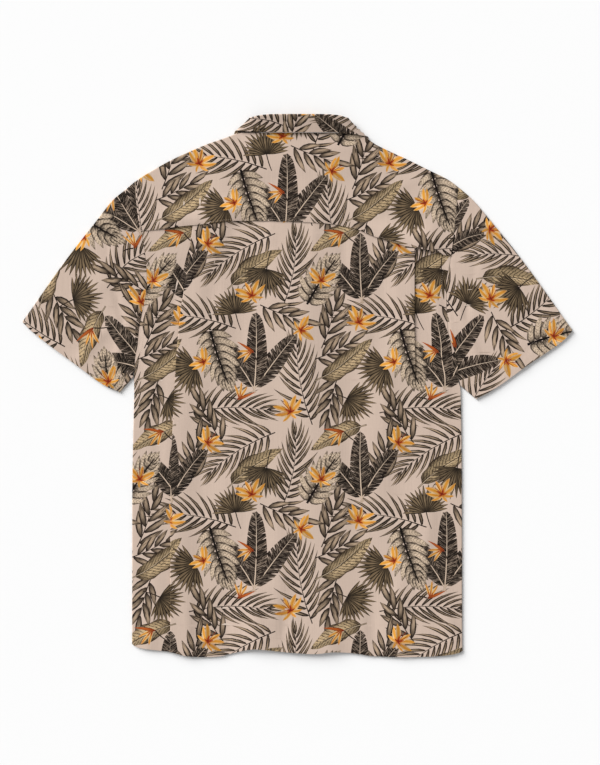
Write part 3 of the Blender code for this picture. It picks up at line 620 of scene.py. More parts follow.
def dip(distance, depth, width):
    """How far the cloth turns down at this distance from a seam or an edge."""
    return depth * (1 - ease(distance, 0, width))


def turned_up(distance, depth, groove, groove_half):
    """How a hem's double cloth and its stitches lift and lower the cloth at this distance from the edge."""
    doubled = HEM_RISE * (1 - ease(distance, depth - HEM_BLEND, depth + HEM_BLEND))
    return doubled - groove * np.exp(-(((distance - depth) / groove_half) ** 2))


def near_armholes(x, y):
    """Dip and puckers that the armhole seams give the cloth on either side of them."""
    def near(side):
        distance = np.abs(side * x - ARMHOLE.at(COLUMN[side], y))
        above = ease(y, UNDERARM[side] - 4, UNDERARM[side] + 12)
        return above * (pucker(y, distance) - dip(distance, *SEAM_DIP))

    return by_side(x, near)


def drape_top(x, y):
    return top_height(x, y) + near_armholes(x, y)


def drape_under(x, y):
    return under_height(x, y) + np.abs(near_armholes(x, y))


def back_sheet():
    side_columns, centre_columns = 11, steps(350)
    points, cloth = [], []
    for v in np.linspace(0, 1, steps(635)):
        def row_y(x, v=v):
            """Y of this row, from the hem to the back's top edge under the yoke."""
            return HEM.at("y", x) * (1 - v) + (YOKE_SEAM.at("y", x) + YOKE_LAP) * v

        middle_y = float(row_y(0.0))
        halves = []
        for side in (-1, 1):
            path_x, path_rise, path_cloth = pleat_path(side, middle_y)
            edge, y = edge_of_row(side, row_y)
            flat_x = np.append(path_x, np.linspace(path_x[-1], side * (edge - FOLD_ROOM), side_columns)[1:])
            fold_out, fold_z = side_fold(side, y, heights(side * edge, y), down=True)
            x = np.append(flat_x, side * fold_out)
            y = row_y(x)
            hemmed = turned_up(y - HEM.at("y", x), *HEM_TURN)[:-FOLDED]
            lifted = np.append(path_rise, np.zeros(side_columns - 1))
            z = np.append(drape_top(flat_x, y[:-FOLDED]) + lifted + hemmed, fold_z)
            last = path_cloth[-1] + (flat_x[-1] - path_x[-1])
            folded = last + side * run(x[-FOLDED - 1:], z[-FOLDED - 1:])[1:]
            a = np.concatenate([path_cloth, path_cloth[-1] + (flat_x[len(path_x):] - path_x[-1]), folded])
            halves.append((np.stack([x, y, z], 1), np.stack([a, y], 1)))
        inner = [half[0][0, 0] for half in halves]
        x = np.linspace(*inner, centre_columns + 2)[1:-1]
        y = row_y(x)
        z = drape_top(x, y) + pleat_rise(x, middle_y) + turned_up(y - HEM.at("y", x), *HEM_TURN)
        (left, left_cloth), (right, right_cloth) = halves
        points.append(np.concatenate([left[::-1], np.stack([x, y, z], 1), right]))
        cloth.append(np.concatenate([left_cloth[::-1], np.stack([x, y], 1), right_cloth]))
    width, pleat = len(points[0]), 2 * PLEAT_TURN_STEPS + 3
    first = FOLDED + side_columns - 1
    lines = [*range(FOLDED), *range(width - FOLDED, width), *range(first, first + pleat)]
    lines += range(width - first - pleat, width - first)
    return Sheet(points, cloth, [("c", k) for k in lines])


def yoke_columns(side):
    """One half's columns from the centre out, and which are the neck's: out = start + share of the edge."""
    neck = NECK_HALF[side]
    inner = np.linspace(0, 1, steps(neck) + 1)[1:-1] * neck
    share = np.linspace(0, 1, steps(BODY_HALF - neck) + 1)
    start = np.concatenate([inner, neck * (1 - share) - FOLD_ROOM * share, -np.array(EDGE_STEPS)])
    return start, np.concatenate([0 * inner, share, np.ones(FOLDED)]), np.arange(len(start)) < len(inner)


def shoulder_fold(side, out):
    """Where the shoulder's fold starts at this distance out, and its radius, slant and height."""
    line = SHOULDER_LINE[side]
    slope = (line.at("y", out + 1) - line.at("y", out - 1)) / 2
    slant = np.sqrt(1 + slope**2)
    y = line.at("y", out) - CLOTH / 2 * slant
    top = top_height(side * out, y)
    radius = (top - under_height(side * out, y)) / 2
    return y - radius * slant, radius, slant, top


def yoke_height(x, y):
    """The yoke lies on the back's top edge and settles to the top layer above it. Its edge turns down."""
    above_seam = y - YOKE_SEAM.at("y", x)
    start, end = YOKE_SETTLE
    near_seam = 1 - ease(above_seam, YOKE_LAP + start, YOKE_LAP + end)
    lifted = (YOKE_LIFT + pleat_cover(x)) * near_seam
    return drape_top(x, y) + lifted - dip(above_seam, *YOKE_DIP) + pucker(x, above_seam)


def forward_seam(side, out):
    return SHOULDER_LINE[side].at("y", out) - FORWARD_SHOULDER


def yoke_half(side):
    start, slope, is_neck = yoke_columns(side)
    folded = start + slope * float(body_edge(side, ARMHOLE_TOP[side]))
    fold_y, radius, slant, top = shoulder_fold(side, folded)
    top_y = np.where(is_neck, NECK_BACK[side].at("y", folded) - SEAM_GAP / 2, fold_y)
    points, cloth = [], []
    for v in np.linspace(0, 1, steps(135)):
        y = top_y
        for _ in range(SETTLING):
            x = side * (start + slope * body_edge(side, y))
            y = YOKE_SEAM.at("y", x) * (1 - v) + top_y * v
        neck_dip = dip(NECK_BACK[side].at("y", x * side) - y, *NECK_DIP) * is_neck
        points.append(np.stack([x, y, yoke_height(x, y) - neck_dip], 1))
        cloth.append(np.stack([x, y], 1))
    last_height = points[-1][:, 2]
    for k in range(1, ARC_STEPS + 1):
        angle = np.pi * k / ARC_STEPS
        blend = (last_height - top) * (1 - k / ARC_STEPS)
        y, z = top_y + radius * slant * np.sin(angle), top - radius * (1 - np.cos(angle)) + blend
        points.append(np.stack([side * folded, y, z], 1))
    for v in np.linspace(0, 1, 5)[1:]:
        y = top_y
        for _ in range(SETTLING):
            out = start + slope * body_edge(side, y)
            y = top_y * (1 - v) + forward_seam(side, out) * v
        points.append(np.stack([side * out, y, drape_under(side * out, y)], 1))
    upper_rows = len(cloth)
    for before, row in zip(points[upper_rows - 1:], points[upper_rows:]):
        cloth.append(np.stack([row[:, 0], cloth[-1][:, 1] + np.linalg.norm(row - before, axis=1)], 1))
    return np.array(points), np.array(cloth), is_neck, upper_rows


def yoke_sheet():
    """Both halves and the middle column between them. The neck's columns have no cloth past the neckline."""
    (left, left_cloth, left_neck, upper_rows), (right, right_cloth, right_neck, _) = map(yoke_half, (-1, 1))
    v = np.linspace(0, 1, upper_rows)
    middle_y = YOKE_SEAM.at("y", 0.0) * (1 - v) + (NECK_BACK[1].at("y", 0.0) - SEAM_GAP / 2) * v
    middle = np.stack([0 * v, middle_y, yoke_height(0 * v, middle_y)], 1)
    past_neck = np.arange(1, len(left) - upper_rows + 1)[:, None] * [0, 1, 0]
    middle = np.concatenate([middle, middle[-1] + past_neck])
    points = np.concatenate([left[:, ::-1], middle[:, None], right], 1)
    cloth = np.concatenate([left_cloth[:, ::-1], middle[:, None, :2], right_cloth], 1)
    is_neck = np.concatenate([left_neck[::-1], [True], right_neck])
    present = np.ones((len(points) - 1, len(is_neck) - 1), bool)
    present[upper_rows - 1:] = ~(is_neck[:-1] | is_neck[1:])
    lines = [("r", k) for k in range(upper_rows - 1, upper_rows + ARC_STEPS)]
    return Sheet(points, cloth, lines, present=present)


def front_top(side, out):
    """Y of a front's upper edge: its neckline, and beyond it the forward shoulder seam."""
    neckline = NECK_FRONT[side].at("y", np.abs(out)) - SEAM_GAP / 2
    return np.where(out < NECK_HALF[side], neckline, forward_seam(side, out) - SEAM_GAP)


def front_sheet(side):
    neck = NECK_HALF[side]
    lap = LAYER if side > 0 else 0.0
    inner = np.linspace(-OVERLAP, neck, steps(neck + OVERLAP) + 1)
    share = np.linspace(0, 1, steps(BODY_HALF - neck) + 1)[1:]
    points, cloth = [], []
    for v in np.linspace(0, 1, steps(700)):
        def row_y(out, v=v):
            return (HEM.at("y", side * out) + FRONT_HEM_LIFT) * (1 - v) + front_top(side, out) * v

        edge, y = edge_of_row(side, lambda x: row_y(side * x))
        flat_out = np.append(inner, neck + (edge - FOLD_ROOM - neck) * share)
        fold_out, fold_z = side_fold(side, y, heights(side * edge, y), down=False)
        out = np.append(flat_out, fold_out)
        y = row_y(out)
        flat_x, flat_y = side * flat_out, y[:-FOLDED]
        over = lap * (1 - ease(flat_out, *LAP_FADE))
        hemmed = np.abs(turned_up(flat_y - HEM.at("y", flat_x) - FRONT_HEM_LIFT, *HEM_TURN))
        z = np.append(drape_under(flat_x, flat_y) + over + hemmed, fold_z)
        a = np.append(flat_out, flat_out[-1] + run(out[-FOLDED - 1:], z[-FOLDED - 1:])[1:])
        points.append(np.stack([side * out, y, z], 1))
        cloth.append(np.stack([side * a, y], 1))
    width = len(points[0])
    return Sheet(points, cloth, [("c", k) for k in range(width - FOLDED, width)], outside=-side)


def upper_fold(side):
    """Where the sleeve's upper fold starts, at the armhole, and where it ends, at the cuff."""
    top = float(shoulder_fold(side, float(body_edge(side, ARMHOLE_TOP[side])))[0])
    start = np.array([float(ARMHOLE.at(COLUMN[side], top)) + SEAM_GAP / 2, top])
    return start, np.array([float(CUFF[side].at(name, 0)) for name in ("out", "y")])


def sleeve_plan(side, s, y):
    """Plan of the sleeve: s from the armhole (0) to the cuff (1), y where the thread starts at the armhole.

    It gives the place as the sleeve lies, and the same place with the upper fold straightened.
    """
    upper_start, upper_end = upper_fold(side)
    top = upper_start[1]
    t = (top - y) / (top - UNDERARM[side] - UNDERARM_GAP)
    clear = UNDERARM_CLEARANCE * ease(t, 0.96, 1)
    start = np.stack([ARMHOLE.at(COLUMN[side], y) + SEAM_GAP / 2 + clear, y], 1)
    end = np.stack([CUFF[side].at("out", t), CUFF[side].at("y", t)], 1)
    straight = start * (1 - s) + end * s

    def above_fold(place):
        return place[1] - float(shoulder_fold(side, place[0])[0])

    bulge = above_fold(upper_start) * (1 - s) + above_fold(upper_end) * s
    bulge -= above_fold(upper_start * (1 - s) + upper_end * s)
    return straight + np.stack([0 * t, bulge * (1 - t)], 1), straight


def fold_arc(start, end, way, slope):
    """Half a turn between two layers, bulging along Y by way, as wide as a fold on a line of this slope."""
    swing = (start[2] - end[2]) / 2
    reach = abs(swing) * np.sqrt(1 + slope**2)
    k = np.arange(1, ARC_STEPS) / ARC_STEPS
    plan = start[:2] + (end - start)[:2] * k[:, None]
    plan = plan + np.stack([0 * k, way * reach * np.sin(np.pi * k)], 1)
    return np.concatenate([plan, ((start[2] + end[2]) / 2 + swing * np.cos(np.pi * k))[:, None]], 1)


def sleeve_sheet(side):
    """A flattened tube, cut open along its underarm seam, which lies at the lower fold."""
    upper_start, upper_end = upper_fold(side)
    sleeve_length = np.linalg.norm(upper_end - upper_start)
    ahead = (upper_end - upper_start) / sleeve_length
    beyond = np.array([-ahead[1], ahead[0]])  # square to the upper fold, away from the sleeve
    low_start = float(ARMHOLE.at(COLUMN[side], UNDERARM[side]))
    lower_slope = float((CUFF[side].at("y", 1) - UNDERARM[side]) / (CUFF[side].at("out", 1) - low_start))
    low_out = np.array([lower_slope, -1.0]) / np.hypot(lower_slope, 1)  # square to the lower fold
    stations = np.linspace(upper_start[1], UNDERARM[side] + UNDERARM_GAP, steps(upper_start[1]) + 1)
    share = np.arange(1, ARC_STEPS)[:, None] / ARC_STEPS
    middle = (ARC_STEPS - 1) // 2  # the seam's place in the lower fold
    points, cloth = [], []
    for s in np.linspace(0, 1, steps(sleeve_length) + 1):
        plan, flat = sleeve_plan(side, s, stations)
        around = max(s - 0.05, 0), min(s + 0.05, 1)
        before, after = (sleeve_plan(side, t, stations[:1])[0][0] for t in around)
        upper_slope = (after[1] - before[1]) / (after[0] - before[0])
        x, y = side * plan[:, 0], plan[:, 1]
        cuffed = turned_up((1 - s) * sleeve_length, *CUFF_TURN)
        top = np.stack([x, y, drape_top(x, y) + cuffed], 1)
        under = np.stack([x, y, drape_under(x, y) + abs(cuffed)], 1)
        lower = fold_arc(top[-1], under[-1], -1, lower_slope)
        upper = fold_arc(under[0], top[0], 1, float(upper_slope))
        points.append(np.concatenate([
            lower[: middle + 1][::-1], top[::-1], upper[::-1], under, lower[middle:][::-1],
        ]))
        upper_length, lower_length = (np.pi * (top[k, 2] - under[k, 2]) / 2 for k in (0, -1))
        low = flat[-1] + low_out * share * lower_length

        def mirrored(p):
            """The under layer opened out past the upper fold."""
            off = ((p - upper_start) @ beyond)[..., None] * beyond
            return p - 2 * off + beyond * upper_length

        cloth.append(np.concatenate([
            low[: middle + 1][::-1], flat[::-1], flat[0] + beyond * share * upper_length, mirrored(flat),
            mirrored(low)[: ARC_STEPS - 1 - middle],
        ]) * [side, 1])
    width, first = len(points[0]), middle + 1
    upper = first + len(stations)
    folded = (0, first + 1), (upper - 1, upper + ARC_STEPS), (width - ARC_STEPS + middle, width)
    lines = [k for start, end in folded for k in range(start, end)]
    return Sheet(points, cloth, [("c", k) for k in lines], outside=-side)


def collar_line(side, kind, row):
    """A point of one of the collar's lines, between the table's rows."""
    table = COLLAR[side]
    x, y = side * float(table.at(kind + "_out", row)), float(table.at(kind + "_y", row))
    if kind == "neck":
        top, under = heights(x, y)
        z = top + (under - top) * float(ease(row, *NECK_TURN))
    else:
        z = float(table.at(kind + "_z", row))
    if side > 0 and kind != "edge":
        z += LAYER * float(ease(row, *STAND_LAP))
    return np.array([x, y, z])


def collar_stations(last):
    """Stations from the left end round the centre back to the right end."""
    rows = np.concatenate([np.arange(0, 3, 0.2), np.arange(3, 6.2, 0.15), np.arange(6.2, last, 0.2), [last]])
    return [(-1, row) for row in rows[:0:-1]] + [(1, row) for row in rows]


def collar_directions(side, row):
    """The directions away from the neck, square to the stand, and up along the stand."""
    ahead, behind = min(row + 0.25, 11.5), max(row - 0.25, 0)
    along = collar_line(side, "roll", ahead) - collar_line(side, "roll", behind)
    if row < 0.2:
        along = np.array([side, 0, 0])
    up = collar_line(side, "roll", row) - collar_line(side, "neck", row)
    outward = np.cross(along, up) * side
    return outward / np.linalg.norm(outward), up / np.linalg.norm(up)


def unrolled(points, middle):
    """Places in the flat cloth for a grid whose lines run across each other nearly squarely."""
    along = lengths_along(points, 0)
    return np.stack([along - along[middle], -lengths_along(points, 1)], 2)


def stand_sheet():
    stations = collar_stations(STAND_LAST_ROW)
    grid = []
    for side, row in stations:
        neck = collar_line(side, "neck", row)
        rise = collar_line(side, "roll", row) - neck
        share = np.linspace(SEAM_GAP / np.linalg.norm(rise), 1, 7)[::-1, None]
        grid.append(neck + rise * share)
    points = np.array(grid)
    return Sheet(points, unrolled(points, len(stations) // 2), outside=-1)


def fall_sheet():
    """Rolled over the stand's upper edge, down the back outside, and as two leaves in front."""
    stations = collar_stations(max(FALL_LAST_ROW.values()))
    stations = [(side, row) for side, row in stations if row <= FALL_LAST_ROW[side]]
    grid = []
    for side, row in stations:
        outward, up = collar_directions(side, row)
        roll = collar_line(side, "roll", row) + up * ROLL_GAP
        line = [roll]
        roll = roll + up * ROLL_START
        for angle in np.pi * np.arange(ARC_STEPS + 1) / ARC_STEPS:
            line.append(roll + outward * ROLL_RADIUS * (1 - np.cos(angle)) + up * ROLL_RADIUS * np.sin(angle))
        start, edge = line[-1], collar_line(side, "edge", row * 11 / FALL_LAST_ROW[side])
        bow = start - up * np.linalg.norm(edge - start) * FALL_BOW
        for t in np.linspace(0, 1, 7)[1:]:
            line.append((1 - t) ** 2 * start + 2 * t * (1 - t) * bow + t * t * edge)
        grid.append(line)
    points = np.array(grid)
    middle = [row for _, row in stations].index(0)
    return Sheet(points, unrolled(points, middle), [("c", k) for k in range(1, ARC_STEPS + 2)], outside=-1)


# ---------------------------------------------------------------------------------------------------------
# The print: leaves and flowers, drawn as outlines in one repeat of the cloth, each over those before it
# ---------------------------------------------------------------------------------------------------------
REPEAT = np.array([278.0, 290.0])
random = np.random.default_rng(11)

def direction(heading):
    return np.array([np.cos(heading), np.sin(heading)])


class Shape:
    """One outline of the print. Its own frame gives u along it from 0 to 1, and w across it from -1 to 1."""

    def __init__(self, kind, start, heading, length, half, bend, tone, outline):
        self.kind, self.start, self.along = kind, np.array(start, float), direction(heading)
        self.length, self.half, self.bend, self.tone, self.outline = length, half, bend, tone, outline

    def moved(self, offset):
        other = copy(self)
        other.start, other.outline = self.start + offset, self.outline + offset
        return other


def place(start, heading, length, bend, u, across=0.0):
    """A point at u along a bent line and at this distance to its left."""
    along = direction(heading)
    left = np.array([-along[1], along[0]])
    u, across = np.asarray(u, float), np.asarray(across, float)
    off = bend * length * u * np.abs(u) + across
    return np.array(start) + (u * length)[..., None] * along + off[..., None] * left


def ahead(heading, bend, u=1.0):
    """The heading of a bent line at u along it."""
    return heading + np.arctan(2 * bend * u)


def near_to(value, spread):
    return value + random.uniform(-spread, spread)


class Drawing:
    """The outlines of the print's motifs, in the order in which they cover one another."""

    def __init__(self):
        self.shapes = []

    def add(self, kind, start, heading, length, half, bend, tone, u, across):
        """Adds an outline given by how far along its line its points are, and how far across."""
        outline = place(start, heading, length, bend, u, across)
        self.shapes.append(Shape(kind, start, heading, length, half, bend, tone, outline))

    def blade(self, kind, start, heading, length, half, bend=0.0, tone=0.5, base=0.7, tip=0.8, stations=4):
        """A leaf or petal, bent to one side. base and tip say how bluntly its ends close."""
        u = (1 - np.cos(np.pi * np.arange(1, stations + 1) / (stations + 1))) / 2
        widest = base / (base + tip)
        width = half * (u / widest) ** base * ((1 - u) / (1 - widest)) ** tip
        around = np.concatenate([[0], u, [1], u[::-1]])
        across = np.concatenate([[0], -width, [0], width[::-1]])
        self.add(kind, start, heading, length, half, bend, tone, around, across)

    def stem(self, start, heading, length, half, bend=0.0, tone=0.3, kind="stem", to=0.3):
        """A line that narrows to this share of its width."""
        u = np.linspace(0, 1, 5)
        width = half * (1 - u * (1 - to))
        around, across = np.concatenate([u, u[::-1]]), np.concatenate([-width, width[::-1]])
        self.add(kind, start, heading, length, half, bend, tone, around, across)

    def rib(self, kind, start, heading, length, half, bend, tone, to, behind, reach):
        """A midrib that starts behind its leaf. behind and reach are shares of the leaf's length."""
        root = start - behind * length * direction(heading)
        self.stem(root, heading, length * reach, half, bend, tone, kind, to)

    def frond(self, start, heading, length, reach, bend, tone, pairs=11, half=2.9):
        """A palm frond: curved leaflets on both sides of a bent stem, longest below its middle."""
        for k in range(pairs):
            for side in (-1, 1):
                share = (k + 0.5 * (side > 0)) / pairs
                u = 0.06 + 0.94 * share
                turn = ahead(heading, bend, u) + side * np.radians(near_to(72 - 46 * share, 5))
                size = reach * (0.62 + 1.5 * share - 1.62 * share**2) * random.uniform(0.9, 1.08)
                root = place(start, heading, length, bend, u)
                self.blade("leaflet", root, turn, size, half * (1 - 0.35 * share), -side * 0.3,
                           near_to(tone, 0.2), 0.55, 1.0, 5)
        tip = place(start, heading, length, bend, 0.98)
        self.blade("leaflet", tip, ahead(heading, bend), reach * 0.4, half * 0.6, 0.05, tone, 0.6, 1.0, 3)
        self.stem(start, heading, length, 0.8, bend, 0.25)

    def fan(self, start, heading, radius, spread, bend, tone, blades=17):
        """A fan palm: blades round a hub, joined near it, the middle ones longest, and a stalk behind."""
        self.stem(start, heading + np.pi + 0.1, radius * 0.6, 0.8, bend, 0.3, to=0.8)
        half_spread, middle = np.radians(spread) / 2, (blades - 1) / 2
        for k in sorted(range(blades), key=lambda k: -abs(k - middle)):
            share = (k - middle) / middle
            size = radius * (1 - 0.22 * share**2) * random.uniform(0.88, 1.06)
            turn = near_to(heading + share * half_spread, 0.03)
            half = radius * half_spread / blades * 0.78
            self.blade("fan", start, turn, size, half, 0.1 * share, near_to(tone, 0.3), 0.9, 0.95, 4)

    def banana(self, start, heading, length, half, bend, tone, lobes=12):
        """A banana leaf, torn here and there down to its pale midrib, with streaks along each strip."""
        edge = np.linspace(0.04, 1, lobes + 1)
        widths = half * np.minimum(edge / 0.22, 1) ** 0.5 * (1 - edge**3) ** 0.6
        for side in (-1, 1):
            for k in range(lobes):
                u0, u1 = edge[k : k + 2]
                lean0, lean1 = 0.5 * widths[k : k + 2] / length
                torn = random.choice([0.0, 0.02, 0.05, 0.14, 0.26]) * (u1 - u0)
                lower, upper = [0, lean0 / 2, lean0 + torn], [lean1 - torn / 2, lean1 / 2, 0]
                u = np.concatenate([np.add(u0, lower), np.add(u1, upper)])
                across = side * widths[[k, k, k, k + 1, k + 1, k + 1]] * [0, 0.5, 1, 1, 0.5, 0]
                outline = place(start, heading, length, bend, u, across)[::-side]
                middle, width = (u0 + u1) / 2, (widths[k] + widths[k + 1]) / 2
                root = place(start, heading, length, bend, middle)
                turn = ahead(heading, bend, middle) + side * np.radians(62)
                self.shapes.append(Shape(
                    "banana", root, turn, width * 1.1, (u1 - u0) * length * 0.5, -side * 0.06,
                    np.clip(near_to(tone, 0.35), 0, 1), outline,
                ))
        self.rib("banana_rib", start, heading, length, 1.0, bend, 0.8, 0.2, 0.06, 1.04)

    def bananas(self, start, heading, length, half, bend, tone):
        """Three banana leaves from one root, the middle one last."""
        for turn, size, lean in ((0.56, 0.82, bend + 0.1), (-0.5, 0.88, bend - 0.12), (0.0, 1.0, bend)):
            self.banana(start, heading + turn, length * size, half * (0.8 + 0.2 * size), lean, tone)

    def ripple(self, start, heading, length, half, bend, tone, lobes=8):
        """A broad leaf cut into curved lobes with dark outlines, on a dark midrib."""
        for k in range(lobes):
            share = k / (lobes - 1)
            u = 0.02 + 0.84 * share
            reach = half * 1.4 * np.sqrt(max(1 - (share * 0.9) ** 2.4, 0.1))
            reach *= 0.7 + 0.3 * min(share / 0.2, 1)
            for side in (-1, 1):
                turn = ahead(heading, bend, u) + side * np.radians(88 - 56 * share)
                root = place(start, heading, length, bend, u)
                self.blade("ripple", root, turn, reach * random.uniform(0.9, 1.1), length * 0.084,
                           -side * 0.36, near_to(tone, 0.15), 0.42, 0.85, 5)
        tip = place(start, heading, length, bend, 0.84)
        self.blade("ripple", tip, ahead(heading, bend), length * 0.3, length * 0.06, 0.0, tone, 0.6, 1.0, 4)
        self.rib("ripple_rib", start, heading, length, 1.7, bend, 0.1, 0.5, 0.08, 1.04)

    def sprig(self, start, heading, length, leaf, bend, tone, leaves=8):
        """Lance leaves on both sides of a thin stem, and one at its end."""
        half = leaf * 0.125
        for k in range(leaves - 1):
            side = 1 if k % 2 else -1
            share = k / (leaves - 1)
            u = 0.08 + 0.84 * share
            turn = ahead(heading, bend, u) + side * np.radians(near_to(46 - 18 * share, 6))
            size = leaf * (1 - 0.15 * share) * random.uniform(0.88, 1.1)
            self.blade("lance", place(start, heading, length, bend, u), turn, size, half, -side * 0.14,
                       near_to(tone, 0.25), 0.8, 1.05, 5)
        tip = place(start, heading, length, bend, 0.98)
        self.blade("lance", tip, ahead(heading, bend), leaf * 0.95, half, 0.04, tone, 0.8, 1.0, 4)
        self.stem(start, heading, length, 0.8, bend, 0.25)

    def wavy(self, start, heading, length, half, bend, tone, waves=2.3, widest=0.42):
        """A broad leaf with a waved edge. One half is darker than the other."""
        u = np.linspace(0, 1, 16)
        width = half * (u / widest) ** 0.62 * ((1 - u) / (1 - widest)) ** 0.86
        middle = place(start, heading, length, bend, u[1:-1][::-1])
        for side in (-1, 1):
            wave = 1 + 0.1 * np.sin(2 * np.pi * waves * u + side) + 0.04 * np.sin(2 * np.pi * 4.1 * u - side)
            line = place(start, heading, length, bend, u, side * width * wave)
            outline = np.concatenate([line, middle])[::-side]
            self.shapes.append(
                Shape("wavy", start, heading, length, half * side, bend, tone - 0.25 * side, outline)
            )
        self.rib("stem", start, heading, length, 1.1, bend, 0.3, 0.2, 0.1, 1.06)
        self.rib("wavy_rib", start, heading, length, 0.4, bend, 0.8, 0.4, 0.1, 0.9)

    def lily(self, centre, heading, size, _half, _bend, tone):
        """Petals seen from the side, each with a bent tip, a red heart and long stamens."""
        for angle, reach, half, bend in PETALS:
            turn = heading + np.radians(near_to(angle, 10))
            self.blade("petal", centre, turn, size * reach, size * half, bend,
                       near_to(tone, 0.3), 1.0, 1.1, 6)
        for angle, reach in HEARTS:
            turn = heading + np.radians(angle)
            self.blade("heart", centre, turn, size * reach, size * 0.05, 0.1, 0.5, 0.5, 0.9, 3)
        for angle, reach in STAMENS:
            turn = heading + np.radians(angle)
            self.blade("stamen", centre, turn, size * reach, 0.5, 0.16, 0.5, 0.3, 0.3, 3)

    def strelitzia(self, start, heading, size, _half, _bend, tone):
        """A pointed sheath on a stem, with a crest of narrow petals."""
        self.stem(start, heading + 2.5, size * 0.6, 1.0, 0.2, 0.5, "stem", 0.8)
        at = place(start, heading, size, 0.12, 0.14)
        for angle, reach in CREST:
            turn = heading + np.radians(angle)
            self.blade("petal", at, turn, size * reach, size * 0.075, 0.1, tone, 0.7, 0.8, 4)
            self.blade("heart", at, turn, size * reach * 0.45, size * 0.03, 0.1, 0.5, 0.6, 0.9, 3)
        self.blade("spike", start, heading, size, size * 0.075, 0.12, 0.35, 0.4, 1.0, 4)


# Angles off a flower's heading, and lengths as shares of its size. Petals add a half width and a bend
PETALS = (
    (172, 0.5, 0.11, 0.34), (-128, 0.66, 0.12, 0.38), (122, 0.7, 0.13, -0.38), (-84, 1.0, 0.165, 0.34),
    (78, 0.94, 0.155, -0.34), (-40, 1.06, 0.175, -0.2), (34, 1.1, 0.18, 0.18), (-4, 0.92, 0.15, 0.05),
)
HEARTS = ((-96, 0.3), (-34, 0.4), (30, 0.42), (92, 0.28))
STAMENS = ((-20, 0.7), (2, 0.82), (18, 0.66))
CREST = ((36, 0.7), (62, 0.82), (88, 0.7))

# One repeat of the print, from the back to the front
LAYOUT = (
    # motif, x, y, heading, length, and then the reach, half width or spread, the bend and the tone
    ("frond", 128, 152, 158, 118, 50, 0.22, 0.3),
    ("frond", 262, 36, 112, 122, 52, -0.2, 0.5),
    ("frond", 214, 276, 200, 112, 48, 0.2, 0.7),
    ("frond", 90, 22, 14, 116, 50, -0.22, 0.35),
    ("frond", 226, 146, 66, 108, 46, 0.24, 0.5),
    ("sprig", 10, 118, 66, 70, 42, 0.12, 0.55),
    ("sprig", 150, 250, 128, 66, 40, -0.12, 0.6),
    ("sprig", 40, 60, 250, 62, 40, 0.12, 0.5),
    ("sprig", 200, 190, 334, 64, 38, 0.1, 0.6),
    ("sprig", 96, 210, 88, 60, 38, -0.1, 0.5),
    ("sprig", 250, 110, 20, 56, 36, 0.1, 0.6),
    ("wavy", 4, 66, 24, 92, 15, 0.24, 0.55),
    ("wavy", 160, 214, 48, 88, 14, -0.24, 0.5),
    ("wavy", 64, 262, 192, 80, 14, 0.24, 0.6),
    ("bananas", 188, 62, 84, 112, 16, 0.08, 0.5),
    ("bananas", 46, 156, 96, 98, 15, -0.08, 0.45),
    ("fan", 116, 96, 206, 48, 156, 0.1, 0.5),
    ("fan", 244, 268, 258, 46, 150, -0.1, 0.45),
    ("fan", 150, 200, 96, 42, 164, 0.1, 0.55),
    ("fan", 20, 20, 330, 44, 150, 0.1, 0.5),
    ("ripple", 150, 150, 284, 82, 27, 0.08, 0.5),
    ("ripple", 258, 200, 62, 74, 25, -0.08, 0.55),
    ("lily", 74, 136, 70, 25, 0, 0, 0.5),
    ("lily", 92, 116, 150, 21, 0, 0, 0.6),
    ("lily", 182, 190, 110, 25, 0, 0, 0.55),
    ("lily", 110, 270, 40, 24, 0, 0, 0.5),
    ("lily", 238, 22, 120, 25, 0, 0, 0.5),
    ("lily", 256, 158, 20, 23, 0, 0, 0.45),
    ("lily", 14, 206, 84, 23, 0, 0, 0.5),
    ("strelitzia", 34, 252, 165, 32, 0, 0, 0.5),
    ("strelitzia", 150, 46, 15, 30, 0, 0, 0.5),
    ("strelitzia", 196, 116, 140, 30, 0, 0, 0.5),
)
FLOWERS = {"lily": 1.7, "strelitzia": 1.2}  # the radius of their room, as a share of their size
# How far along a leaf its room reaches, and the room's greatest half width as a share of the leaf's reach
LEAF_ROOM = {
    "sprig": (1.4, 0.44), "frond": (1.2, 0.66), "ripple": (1.05, 0.95), "wavy": (1.0, 1.0),
    "bananas": (1.0, 2.1),
}
SETTLE_ROUNDS = 90
SETTLE_SHARE = 0.12  # how much of an overlap each round takes away


def room_of(motif, heading, length, width, bend):
    """Rounds that stand for a motif when it finds its room: places off its start, and radii."""
    if motif in FLOWERS:
        return np.zeros((1, 2)), np.array([length * FLOWERS[motif]])
    if motif == "fan":
        return length * np.array([[0.0, 0.0], direction(heading) * 0.6]), length * np.array([0.3, 0.6])
    end, share = LEAF_ROOM[motif]
    u = np.linspace(0.1, end, 5)
    profile = 1 - 2 * ((u - 0.1) / (end - 0.1) - 0.45) ** 2
    return place((0, 0), heading, length, bend, u), width * share * profile


def settled(layout):
    """Moves the motifs apart until leaves hardly lie on leaves, and flowers on flowers."""
    starts = np.array([row[1:3] for row in layout], float)
    rooms = [room_of(motif, np.radians(heading), *rest) for motif, _, _, heading, *rest, _ in layout]
    owner = np.repeat(np.arange(len(layout)), [len(radii) for _, radii in rooms])
    offset, radius = (np.concatenate(part) for part in zip(*rooms))
    flower = np.array([row[0] in FLOWERS for row in layout])[owner]
    apart = (owner[:, None] != owner) & (flower[:, None] == flower)
    for _ in range(SETTLE_ROUNDS):
        at = starts[owner] + offset
        gap = at[:, None] - at
        gap = gap - REPEAT * np.round(gap / REPEAT)
        distance = np.linalg.norm(gap, axis=2) + 1e-6
        overlap = np.where(apart, np.maximum(radius[:, None] + radius - distance, 0), 0)
        push = (gap / distance[..., None] * overlap[..., None]).sum(1) * SETTLE_SHARE
        for axis in (0, 1):
            starts[:, axis] += np.bincount(owner, push[:, axis], len(layout)) / np.bincount(owner)
    return starts


